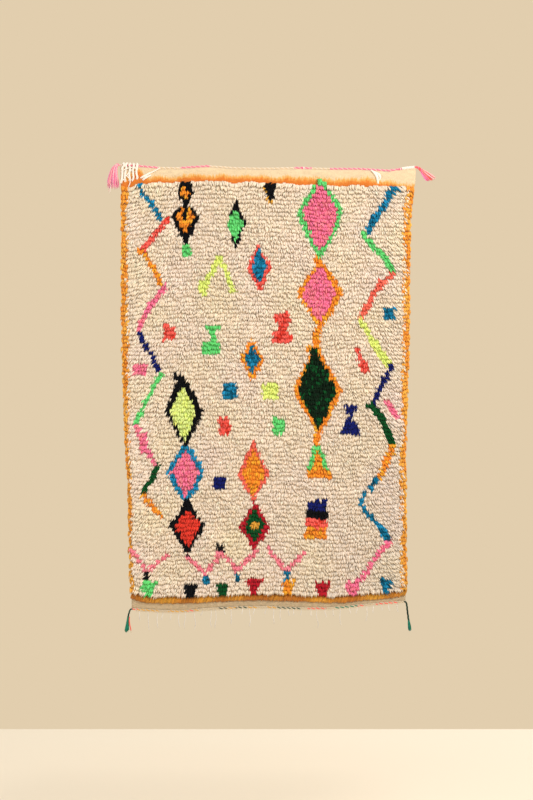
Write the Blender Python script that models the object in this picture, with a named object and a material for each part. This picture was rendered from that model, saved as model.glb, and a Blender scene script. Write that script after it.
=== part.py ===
# A small hand-knotted wool rug of the Azilal kind, hung by its heading with its back flat on a wall.
# Metres, +Z up. The origin is the middle of the heading's upper edge, on the back face.
# +X is the viewer's right, and the pile faces -Y.

import math
import random
from collections import namedtuple

import bmesh
import bpy
from mathutils import Vector, noise

MM = 0.001
GAP = 0.3 * MM  # clearance between pieces that touch

# Thickness of each zone, measured from the back
HEADING_DEPTH = 9.5 * MM
PILE_DEPTH = 25 * MM
PILE_RIM_DEPTH = 14 * MM
PILE_END_STEP = 7 * MM  # how much lower the first and last rows of pile are
EDGING_DEPTH = 12 * MM
CLOTH_FOLD_DEPTH = 5 * MM  # where the plain cloth leaves the edging
CLOTH_DEPTH = 3.5 * MM
EDGING_HEIGHT = 20 * MM

# How fine the slab is
COLUMNS = 28
PILE_ROWS = 60
RIM_SHARE = 0.018  # of the width, where the pile rolls off at each side
LUMP_HEIGHT = 3.2 * MM

# Locks of border pile that stand out at both sides
LOCK_REACH = 7 * MM
LOCK_DROP = 6 * MM
LOCK_INSET = 3.5 * MM
LOCK_TIP = 0.42  # of its root

# Cords along the two ends
CORD_RADIUS = 3.3 * MM
CORD_SIDES = 8
CORD_LAY = 50 * MM  # length of one full turn of the two plies
CORD_STEP = 8.2 * MM
TOP_CORD_Y = -5.5 * MM
TOP_CORD_LEFT = -0.488
TOP_CORD_RIGHT = 0.486
LOWER_CORD_LEFT = -0.449
LOWER_CORD_RIGHT = 0.450

# Loose warp ends under the lower cord
FRINGE_STRANDS = 34
FRINGE_WIDTH = 2.2 * MM
FRINGE_SHORTEST = 14 * MM
FRINGE_LONGEST = 60 * MM
FRINGE_INSET = 12 * MM  # of the strip from each end of the lower cord
STRIP_HEIGHT = 2.4 * MM

# White yarn lashed over the heading's left corner
LASHING_LEFT = -0.486
LASHING_RIGHT = -0.426
LASHING_WRAPS = 6
LASHING_YARN = 4.0 * MM
LASHING_VALLEY = 1.6 * MM
LASHING_SLANT = 0.2
LASHING_TAPER = 0.72  # height at its right end over that at its left
LASHED_BACK = 3.2 * MM  # how far the lashing draws the heading off the wall
LASHED_TO = -0.395

# Two thick stitches on the heading, and the yarn of the tassels
STITCH_RADIUS = 2.6 * MM
STITCH_SIDES = 6
TASSEL_Y = -5.5 * MM
TUFT_INSET = 0.28 * MM  # leaves a slit between the roots of the locks

# Drop below the origin, in millimetres, of each line that crosses the rug
Across = namedtuple("Across", "x top seam pile_end cloth_end")
LINES = [
    Across(-500, -11, 58, 1406, 1447),
    Across(-450, -10, 58, 1418, 1449),
    Across(-400, -6, 44, 1431, 1453),
    Across(-350, -2, 45, 1433, 1456),
    Across(-300, -1, 43, 1433, 1457),
    Across(-250, -5, 41, 1432, 1454),
    Across(-200, -8, 39, 1430, 1449),
    Across(-100, -1, 42, 1424, 1444),
    Across(0, 0, 44, 1423, 1443),
    Across(100, -2, 48, 1426, 1447),
    Across(200, 1, 55, 1430, 1447),
    Across(250, 1, 53, 1431, 1443),
    Across(300, 1, 52, 1425, 1438),
    Across(350, 4, 54, 1421, 1433),
    Across(400, 7, 56, 1417, 1429),
    Across(450, 0, 58, 1408, 1425),
    Across(500, -6, 60, 1396, 1422),
]

# The two side edges of the slab, in millimetres, at each drop below the origin
Side = namedtuple("Side", "drop left right")
SIDES = [
    Side(-20, -490, 489),
    Side(45, -487, 487),
    Side(70, -484, 479),
    Side(120, -483, 472),
    Side(240, -483, 467),
    Side(430, -483, 465),
    Side(630, -480, 464),
    Side(700, -478, 459),
    Side(760, -475, 459),
    Side(890, -472, 454),
    Side(960, -468, 452),
    Side(1040, -461, 454),
    Side(1230, -458, 455),
    Side(1350, -455, 457),
    Side(1412, -451, 455),
    Side(1460, -451, 452),
]

# The folded heading in section: share of its height, front depth and back gap in millimetres
HeadingRow = namedtuple("HeadingRow", "share front back")
HEADING_SECTION = [
    HeadingRow(0.0, 7.0, 3.2),
    HeadingRow(0.07, 8.8, 1.2),
    HeadingRow(0.3, 9.5, 0.0),
    HeadingRow(0.65, 9.5, 0.0),
    HeadingRow(0.93, 9.2, 0.0),
]

# The lashing in section, in millimetres from the heading's top: the inner skin, and which way the yarn stands
LashPoint = namedtuple("LashPoint", "inner_y inner_z out_y out_z")
LASHING_FRONT = [
    LashPoint(-9.9, -61, -1.0, 0.0),
    LashPoint(-9.9, -30, -1.0, 0.0),
    LashPoint(-9.9, -1, -1.0, 0.2),
    LashPoint(-9.6, 5.8, -0.8, 0.6),
    LashPoint(-5.5, 8.6, 0.0, 1.0),
]
LASHING_BACK = [
    LashPoint(-1.6, 6, 0.0, 0.0),
    LashPoint(-1.6, 1.5, 0.0, 0.0),
    LashPoint(-2.9, -2, 0.0, 0.0),
    LashPoint(-2.9, -61, 0.0, 0.0),
]
LASHING_BACK_Y = -0.25  # millimetres, the outer skin just off the wall

# Tassels: the neck's path and radius in millimetres from the cord's end, then the tuft.
# Fan is how far the outer locks spread, droop how far the tips sink.
Tassel = namedtuple("Tassel", "name x z path radii lengths fan droop colour")
Neck = namedtuple("Neck", "x z")

Row = namedtuple("Row", "above below share front back lumpy")

BODY_X = 0.48  # about half the width


def srgb(red, green, blue):
    """The linear colour of three 0 to 255 values."""
    return [((value / 255 + 0.055) / 1.055) ** 2.4 for value in (red, green, blue)]


CREAM = srgb(229, 205, 172)
CORD_PINK = srgb(240, 120, 135)
CORD_MIXED = srgb(196, 120, 84)
WARP_WHITE = srgb(226, 214, 200)
YARN_WHITE = srgb(250, 236, 220)
CORAL_PINK = srgb(243, 110, 135)
DEEP_GREEN = srgb(24, 84, 64)


def mix(first, second, share):
    return first + (second - first) * share


def read(table, key, at, column):
    """The column of the table at a place between two of its rows, by straight lines."""
    for above, below in zip(table, table[1:]):
        low, high = getattr(above, key), getattr(below, key)
        if at <= high:
            break
    share = (at - low) / (high - low)
    return mix(getattr(above, column), getattr(below, column), share)


def drop_of(line, x):
    """How far below the origin a crossing line is at x, in metres."""
    if line == "edging":
        return drop_of("pile_end", x) - EDGING_HEIGHT
    return read(LINES, "x", x / MM, line) * MM


def body_rows():
    """Every row of the slab from the heading's fold to the lower edge of the cloth."""
    rows = [
        Row("top", "seam", r.share, r.front * MM, r.back * MM, False) for r in HEADING_SECTION
    ]
    for i in range(PILE_ROWS + 1):
        last = i in (0, PILE_ROWS)
        depth = PILE_DEPTH - (PILE_END_STEP if last else 0)
        rows.append(Row("seam", "edging", i / PILE_ROWS, depth, 0, not last))
    rows.append(Row("edging", "pile_end", 0.3, EDGING_DEPTH, 0, False))
    rows.append(Row("edging", "pile_end", 0.75, EDGING_DEPTH, 0, False))
    rows.append(Row("pile_end", "cloth_end", 0.0, CLOTH_FOLD_DEPTH, 0, False))
    rows.append(Row("pile_end", "cloth_end", 0.12, CLOTH_DEPTH, 0, False))
    rows.append(Row("pile_end", "cloth_end", 1.0, CLOTH_DEPTH, 0, False))
    return rows


def body_columns():
    """Shares of the width, closer together where the pile rolls off at the sides."""
    inner = [mix(RIM_SHARE, 1 - RIM_SHARE, i / COLUMNS) for i in range(COLUMNS + 1)]
    return [0.0] + inner + [1.0]


def place(row, column):
    """x and z of the slab's point in this row and column."""
    x = mix(-BODY_X, BODY_X, column)
    for _ in range(2):  # the sides depend on the drop, and the drop on x
        drop = mix(drop_of(row.above, x), drop_of(row.below, x), row.share)
        left = read(SIDES, "drop", drop / MM, "left") * MM
        right = read(SIDES, "drop", drop / MM, "right") * MM
        x = mix(left, right, column)
    return x, -drop


def front_depth(row, column, x, z):
    """How far the front stands off the back plane."""
    if not row.lumpy:
        return row.front
    if column in (0.0, 1.0):
        return PILE_RIM_DEPTH
    broad = noise.noise(Vector((x * 9, 3.0, z * 9)))
    fine = noise.noise(Vector((x * 31, 7.0, z * 37)))
    return row.front + LUMP_HEIGHT * (0.45 * broad + 0.9 * fine)


def row_line(row):
    """The (x, z) points along one row of the slab."""
    return [place(row, column) for column in body_columns()]


def along(line, x):
    """Height of a row's straight-sided line at x."""
    for (x0, z0), (x1, z1) in zip(line, line[1:]):
        if x <= x1:
            break
    return mix(z0, z1, (x - x0) / (x1 - x0))


def grow(bm, face, steps):
    """Draws a strand out of a face: each step moves its end by an offset and narrows it."""
    for offset, width in steps:
        face = bmesh.ops.extrude_discrete_faces(bm, faces=[face])["faces"][0]
        centre = face.calc_center_median()
        for vert in face.verts:
            vert.co = centre + offset + (vert.co - centre) * width


def loft(bm, rings):
    """Joins rings of equal point counts into one closed skin with flat ends."""
    made = [[bm.verts.new(point) for point in ring] for ring in rings]
    count = len(made[0])
    for first, second in zip(made, made[1:]):
        for i in range(count):
            j = (i + 1) % count
            bm.faces.new((first[i], first[j], second[j], second[i]))
    bm.faces.new(made[0])
    bm.faces.new(list(reversed(made[-1])))
    return made


def finish(name, bm, colour, roughness=0.9, location=(0, 0, 0), parent=None):
    """Turns a bmesh into a named object with its own material."""
    bmesh.ops.recalc_face_normals(bm, faces=bm.faces)
    mesh = bpy.data.meshes.new(name)
    bm.to_mesh(mesh)
    bm.free()
    material = bpy.data.materials.new(name + "_wool")
    material.use_nodes = True
    shader = material.node_tree.nodes["Principled BSDF"]
    shader.inputs["Base Color"].default_value = (*colour, 1)
    shader.inputs["Roughness"].default_value = roughness
    shader.inputs["Metallic"].default_value = 0
    mesh.materials.append(material)
    obj = bpy.data.objects.new(name, mesh)
    bpy.context.scene.collection.objects.link(obj)
    obj.location = location
    obj.parent = parent
    return obj


def rug_body():
    """The woven and knotted slab: heading, pile with its lumps and rim locks, edging and plain cloth end."""
    bm = bmesh.new()
    columns = body_columns()
    rows = body_rows()
    front, back = [], []
    for row in rows:
        fronts, backs = [], []
        for column in columns:
            x, z = place(row, column)
            off_wall = max(row.back, LASHED_BACK) if row.above == "top" and x < LASHED_TO else row.back
            fronts.append(bm.verts.new((x, -front_depth(row, column, x, z), z)))
            backs.append(bm.verts.new((x, -off_wall, z)))
        front.append(fronts)
        back.append(backs)
    rim_faces = []
    for i in range(len(rows) - 1):
        for j in range(len(columns) - 1):
            bm.faces.new((front[i][j], front[i + 1][j], front[i + 1][j + 1], front[i][j + 1]))
            bm.faces.new((back[i][j], back[i][j + 1], back[i + 1][j + 1], back[i + 1][j]))
        left = bm.faces.new((front[i][0], back[i][0], back[i + 1][0], front[i + 1][0]))
        right = bm.faces.new((front[i][-1], front[i + 1][-1], back[i + 1][-1], back[i][-1]))
        if rows[i].lumpy and rows[i + 1].lumpy:
            rim_faces += [left, right]
    for j in range(len(columns) - 1):
        bm.faces.new((front[0][j], front[0][j + 1], back[0][j + 1], back[0][j]))
        bm.faces.new((front[-1][j], back[-1][j], back[-1][j + 1], front[-1][j + 1]))
    bmesh.ops.recalc_face_normals(bm, faces=bm.faces)
    bmesh.ops.inset_individual(bm, faces=rim_faces, thickness=LOCK_INSET)
    shuffle = random.Random(5)
    for face in rim_faces:
        out = 1 if face.calc_center_median().x > 0 else -1
        reach = LOCK_REACH * shuffle.uniform(0.7, 1.15)
        half_way = Vector((out * reach * 0.6, -1 * MM, -LOCK_DROP * 0.3))
        tip = Vector((out * reach * 0.4, 0, -LOCK_DROP * shuffle.uniform(0.5, 0.9)))
        grow(bm, face, [(half_way, 0.8), (tip, LOCK_TIP / 0.8)])
    return finish("rug", bm, CREAM)


def cord(name, line, first, last, y, side, colour, parent):
    """A two-ply twisted cord along the top or the foot of the cloth; side is 1 above and -1 below."""
    bm = bmesh.new()
    steps = round((last - first) / CORD_STEP)
    rings = []
    for i in range(steps + 1):
        x = mix(first, last, i / steps)
        z = along(line, x) + side * (CORD_RADIUS + 2 * GAP)
        turn = 2 * math.pi * (x - first) / CORD_LAY
        ring = []
        for k in range(CORD_SIDES):
            angle = 2 * math.pi * k / CORD_SIDES
            reach = CORD_RADIUS * (0.82 + 0.18 * math.cos(2 * (angle - turn)))
            ring.append(Vector((x, y + reach * math.cos(angle), z + reach * math.sin(angle))))
        rings.append(ring)
    loft(bm, rings)
    return finish(name, bm, colour, parent=parent)


def fringe(line, parent):
    """Warp ends that hang from a narrow strip just under the lower cord."""
    shuffle = random.Random(11)
    bm = bmesh.new()
    first = LOWER_CORD_LEFT + FRINGE_INSET
    last = LOWER_CORD_RIGHT - FRINGE_INSET
    pitch = (last - first) / FRINGE_STRANDS
    roots = [
        first + (i + 0.5) * pitch + shuffle.uniform(-0.28, 0.28) * pitch
        for i in range(FRINGE_STRANDS)
    ]
    stations = [first]
    for root in roots:
        stations += [root - FRINGE_WIDTH / 2, root + FRINGE_WIDTH / 2]
    stations.append(last)
    top = 2 * CORD_RADIUS + 4 * GAP
    rings = []
    for x in stations:
        z = along(line, x) - top
        near, far = -CORD_RADIUS - FRINGE_WIDTH / 2, -CORD_RADIUS + FRINGE_WIDTH / 2
        rings.append([
            Vector((x, near, z)),
            Vector((x, far, z)),
            Vector((x, far, z - STRIP_HEIGHT)),
            Vector((x, near, z - STRIP_HEIGHT)),
        ])
    made = loft(bm, rings)
    bmesh.ops.recalc_face_normals(bm, faces=bm.faces)
    for i in range(FRINGE_STRANDS):
        corners = {*made[2 * i + 1][2:], *made[2 * i + 2][2:]}
        face = next(f for f in bm.faces if set(f.verts) == corners)
        length = mix(FRINGE_SHORTEST, FRINGE_LONGEST, shuffle.random() ** 1.3)
        sway = shuffle.uniform(-4, 4) * MM
        steps = []
        for k in range(3):
            swing = sway * (0.2, 0.9, -0.4)[k]
            steps.append((Vector((swing, -0.4 * MM, -length / 3)), 0.92))
        grow(bm, face, steps)
    return finish("bottom_fringe", bm, WARP_WHITE, parent=parent)


def lashing(top_line, parent):
    """Six turns of white yarn sewn over the heading's left corner, and over the cord on it."""
    bm = bmesh.new()
    stations = 2 * LASHING_WRAPS
    rings = []
    for i in range(stations + 1):
        x = mix(LASHING_LEFT, LASHING_RIGHT, i / stations)
        top = along(top_line, x)
        yarn = LASHING_YARN if i % 2 else LASHING_VALLEY
        taper = mix(1, LASHING_TAPER, i / stations)
        outer = []
        inner = []
        for point in LASHING_FRONT + LASHING_BACK:
            rise = point.inner_z * MM * (taper if point.inner_z < 0 else 1)
            at = Vector((x + rise * LASHING_SLANT, point.inner_y * MM, top + rise))
            inner.append(at)
            if point in LASHING_FRONT:
                outer.append(at + Vector((0, point.out_y, point.out_z)) * yarn)
            else:
                outer.append(Vector((at.x, LASHING_BACK_Y * MM, at.z)))
        rings.append(outer + list(reversed(inner)))
    loft(bm, rings)
    return finish("corner_lashing", bm, YARN_WHITE, parent=parent)


def stitch(name, points, top_line, parent):
    """One thick stitch of white yarn lying on the heading's front, given as x and drop in millimetres."""
    bm = bmesh.new()
    y = -HEADING_DEPTH - STITCH_RADIUS - 2 * GAP
    rings = []
    for i, (x, drop) in enumerate(points):
        centre = Vector((x * MM, y, along(top_line, x * MM) - drop * MM))
        before = points[max(i - 1, 0)]
        after = points[min(i + 1, len(points) - 1)]
        run = Vector((after[0] - before[0], 0, before[1] - after[1])).normalized()
        across = run.cross(Vector((0, 1, 0)))
        swell = 0.7 if i in (0, len(points) - 1) else 1.0
        rings.append([
            centre
            + across * STITCH_RADIUS * 1.25 * swell * math.cos(2 * math.pi * k / STITCH_SIDES)
            + Vector((0, STITCH_RADIUS * swell * math.sin(2 * math.pi * k / STITCH_SIDES), 0))
            for k in range(STITCH_SIDES)
        ])
    loft(bm, rings)
    return finish(name, bm, YARN_WHITE, parent=parent)


def disc_point(column, row, radius):
    """A corner of the three by three grid of lock roots, pressed from a square into a disc."""
    a, b = 2 * column / 3 - 1, 2 * row / 3 - 1
    return radius * a * math.sqrt(1 - b * b / 2), radius * b * math.sqrt(1 - a * a / 2)


RIM_OF_GRID = [(0, 0), (1, 0), (2, 0), (3, 0), (3, 1), (3, 2), (3, 3), (2, 3), (1, 3), (0, 3), (0, 2), (0, 1)]


def tassel(spec, y, parent):
    """A cord's tail that ends in nine loose locks, all growing out of one neck."""
    shuffle = random.Random(len(spec.path) * 7 + len(spec.name))
    bm = bmesh.new()
    points = [Vector((p.x, 0, p.z)) * MM for p in spec.path]
    rings = []
    for i, point in enumerate(points):
        run = (points[min(i + 1, len(points) - 1)] - points[max(i - 1, 0)]).normalized()
        across = run.cross(Vector((0, 1, 0)))
        ring = []
        for column, row in RIM_OF_GRID:
            a, b = disc_point(column, row, spec.radii[i] * MM)
            ring.append(point + across * a + Vector((0, b * 0.85, 0)))
        rings.append(ring)
    verts = {}
    made = loft(bm, rings)
    end_cap = next(f for f in bm.faces if set(f.verts) == set(made[-1]))
    bm.faces.remove(end_cap)
    for (column, row), vert in zip(RIM_OF_GRID, made[-1]):
        verts[column, row] = vert
    for column in (1, 2):
        for row in (1, 2):
            a, b = disc_point(column, row, spec.radii[-1] * MM)
            verts[column, row] = bm.verts.new(points[-1] + across * a + Vector((0, b * 0.85, 0)))
    roots = []
    for column in range(3):
        for row in range(3):
            corners = [(column, row), (column + 1, row), (column + 1, row + 1), (column, row + 1)]
            roots.append((bm.faces.new([verts[c] for c in corners]), column - 1, row - 1))
    bmesh.ops.recalc_face_normals(bm, faces=bm.faces)
    bmesh.ops.inset_individual(bm, faces=[f for f, _, _ in roots], thickness=TUFT_INSET)
    short, long = spec.lengths
    for face, column, row in roots:
        length = mix(short, long, shuffle.random()) * MM
        steps = []
        for k in range(4):
            spread = across * column * spec.fan * MM * (0.34, 0.3, 0.2, 0.16)[k]
            depth = Vector((0, row * 0.5 * MM, 0))
            sink = Vector((0, 0, -spec.droop * MM * (0.05, 0.2, 0.35, 0.4)[k]))
            steps.append((run * length / 4 + spread + depth + sink, (1.15, 1.1, 0.95, 0.6)[k]))
        grow(bm, face, steps)
    return finish(spec.name, bm, spec.colour, location=(spec.x, y, spec.z), parent=parent)


def clear_scene():
    for obj in list(bpy.data.objects):
        bpy.data.objects.remove(obj)


def main():
    clear_scene()
    rug = rug_body()
    rows = body_rows()
    top_line, foot_line = row_line(rows[0]), row_line(rows[-1])
    cord("top_cord", top_line, TOP_CORD_LEFT, TOP_CORD_RIGHT, TOP_CORD_Y, 1, CORD_PINK, rug)
    lower_y = -CORD_RADIUS - GAP
    cord("bottom_cord", foot_line, LOWER_CORD_LEFT, LOWER_CORD_RIGHT, lower_y, -1, CORD_MIXED, rug)
    fringe(foot_line, rug)
    lashing(top_line, rug)
    stitch("heading_stitch_left", [(-363, 1), (-380, 12), (-400, 24), (-419, 36)], top_line, rug)
    stitch("heading_stitch_right", [(343, 1), (352, 13), (363, 26), (369, 41)], top_line, rug)
    top_rise = CORD_RADIUS + 2 * GAP
    ends = {
        "top_left": (TOP_CORD_LEFT - GAP, along(top_line, TOP_CORD_LEFT) + top_rise),
        "top_right": (TOP_CORD_RIGHT + GAP, along(top_line, TOP_CORD_RIGHT) + top_rise),
        "bottom_left": (LOWER_CORD_LEFT - GAP, along(foot_line, LOWER_CORD_LEFT) - top_rise),
        "bottom_right": (LOWER_CORD_RIGHT + GAP, along(foot_line, LOWER_CORD_RIGHT) - top_rise),
    }
    necks = {
        "top_left": [
            Neck(0, 0), Neck(-4, 0), Neck(-8, 2), Neck(-14, 0),
            Neck(-20, -10), Neck(-24, -26), Neck(-26, -42),
        ],
        "top_right": [Neck(0, 0), Neck(5, 0), Neck(13, -4), Neck(22, -12)],
        "bottom_left": [Neck(0, 0), Neck(-4, 0), Neck(-8, -6), Neck(-13, -24), Neck(-15, -42)],
        "bottom_right": [Neck(0, 0), Neck(4, 0), Neck(8, -8), Neck(10.5, -32), Neck(13, -65)],
    }
    tufts = {
        "top_left": ((3, 3.2, 3.8, 4.6, 5, 5.4, 6.2), (27, 34), 15, 2, CORAL_PINK),
        "top_right": ((3, 3.8, 4.8, 5.6), (44, 60), 20, 0, CORAL_PINK),
        "bottom_left": ((2.6, 2.6, 2.9, 3.1, 3.6), (27, 34), 4, 2, DEEP_GREEN),
        "bottom_right": ((2.6, 2.6, 2.8, 3, 3.4), (27, 34), 3, 2, DEEP_GREEN),
    }
    for corner, (x, z) in ends.items():
        radii, lengths, fan, droop, colour = tufts[corner]
        spec = Tassel("tassel_" + corner, x, z, necks[corner], radii, lengths, fan, droop, colour)
        tassel(spec, TASSEL_Y, rug)


main()
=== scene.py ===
# Looks for a small hand-knotted wool rug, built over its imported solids.
# Tables are in millimetres: x from the rug's middle, drop below the heading's upper edge, depth off the wall.
import math
import random

import bpy
import numpy as np
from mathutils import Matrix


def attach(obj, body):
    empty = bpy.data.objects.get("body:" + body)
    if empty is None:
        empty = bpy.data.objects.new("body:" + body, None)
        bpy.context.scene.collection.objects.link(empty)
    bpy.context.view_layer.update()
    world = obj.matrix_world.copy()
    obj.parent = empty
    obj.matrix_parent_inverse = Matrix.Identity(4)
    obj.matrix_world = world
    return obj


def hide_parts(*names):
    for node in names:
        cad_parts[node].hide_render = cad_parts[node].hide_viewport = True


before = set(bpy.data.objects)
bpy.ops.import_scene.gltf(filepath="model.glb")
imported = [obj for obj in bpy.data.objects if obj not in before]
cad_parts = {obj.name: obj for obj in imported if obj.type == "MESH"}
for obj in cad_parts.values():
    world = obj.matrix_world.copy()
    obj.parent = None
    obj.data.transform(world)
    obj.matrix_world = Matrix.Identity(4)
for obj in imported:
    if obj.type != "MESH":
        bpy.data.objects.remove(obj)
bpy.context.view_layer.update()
mm = 0.001
print("Frame loaded:", len(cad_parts), "solids")

# The rug's own outline, the same as the solids have
rugOutline = {
    "halfWidth": 480,
    "edgingHeight": 20,
    "across": [  # x, then the drop of the top, the seam, the pile's end and the cloth's end
        (-500, -11, 58, 1406, 1447), (-450, -10, 58, 1418, 1449), (-400, -6, 44, 1431, 1453),
        (-350, -2, 45, 1433, 1456), (-300, -1, 43, 1433, 1457), (-250, -5, 41, 1432, 1454),
        (-200, -8, 39, 1430, 1449), (-100, -1, 42, 1424, 1444), (0, 0, 44, 1423, 1443),
        (100, -2, 48, 1426, 1447), (200, 1, 55, 1430, 1447), (250, 1, 53, 1431, 1443),
        (300, 1, 52, 1425, 1438), (350, 4, 54, 1421, 1433), (400, 7, 56, 1417, 1429),
        (450, 0, 58, 1408, 1425), (500, -6, 60, 1396, 1422),
    ],
    "sides": [  # drop, then x of the left and right edges
        (-20, -490, 489), (45, -487, 487), (70, -484, 479), (120, -483, 472), (240, -483, 467),
        (430, -483, 465), (630, -480, 464), (700, -478, 459), (760, -475, 459), (890, -472, 454),
        (960, -468, 452), (1040, -461, 454), (1230, -458, 455), (1350, -455, 457),
        (1412, -451, 455), (1460, -451, 452),
    ],
}
acrossTable = np.array(rugOutline["across"], float)
sideTable = np.array(rugOutline["sides"], float)
lineColumn = {"top": 1, "seam": 2, "pileEnd": 3, "clothEnd": 4}


def dropOf(line, x):
    # How far down one of the crossing lines is at x
    if line == "edging":
        return dropOf("pileEnd", x) - rugOutline["edgingHeight"]
    return np.interp(x, acrossTable[:, 0], acrossTable[:, lineColumn[line]])


def edgesAt(drop):
    # x of the left and right edges at a drop
    left = np.interp(drop, sideTable[:, 0], sideTable[:, 1])
    right = np.interp(drop, sideTable[:, 0], sideTable[:, 2])
    return left, right


def placeOn(above, below, share, column):
    # x and drop of a place between two lines, with column 0 at the left edge and 1 at the right
    x = (2 * column - 1) * rugOutline["halfWidth"]
    for _ in range(2):  # the edges depend on the drop, and the drop on x
        drop = dropOf(above, x) + (dropOf(below, x) - dropOf(above, x)) * share
        left, right = edgesAt(drop)
        x = left + (right - left) * column
    return x, drop


def dye(red, green, blue):
    # A colour as a dyer would read it off a shade card, made linear
    shades = np.array((red, green, blue), float) / 255
    return np.where(shades <= 0.04045, shades / 12.92, ((shades + 0.055) / 1.055) ** 2.4)


yarnDyes = {
    "cream": dye(243, 224, 201),
    "teal": dye(18, 122, 160),
    "coral": dye(253, 101, 89),
    "orange": dye(255, 150, 46),
    "edgeOrange": dye(238, 148, 46),
    "edgeGold": dye(250, 182, 74),
    "pink": dye(255, 124, 160),
    "rose": dye(255, 138, 154),
    "dullWarp": dye(208, 188, 156),
    "orchid": dye(250, 140, 190),
    "navy": dye(18, 28, 104),
    "green": dye(108, 221, 124),
    "forest": dye(4, 36, 16),
    "fern": dye(8, 80, 36),
    "lime": dye(233, 250, 132),
    "paleLime": dye(228, 243, 148),
    "peach": dye(255, 114, 94),
    "deepTeal": dye(8, 84, 112),
    "black": dye(7, 8, 14),
    "darkRed": dye(190, 30, 46),
    "red": dye(230, 64, 48),
    "gold": dye(226, 166, 62),
    "sea": dye(36, 148, 194),
    "amber": dye(255, 178, 52),
    "blush": dye(252, 186, 184),
    "jade": dye(14, 124, 96),
    "rust": dye(180, 108, 32),
    "wheat": dye(208, 148, 48),
    "white": dye(252, 240, 226),
    "hemCream": dye(231, 205, 166),
    "warp": dye(232, 222, 208),
    "bottle": dye(10, 62, 44),
}
yarnNames = list(yarnDyes)
dyeCard = np.array([yarnDyes[name] for name in yarnNames])


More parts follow.
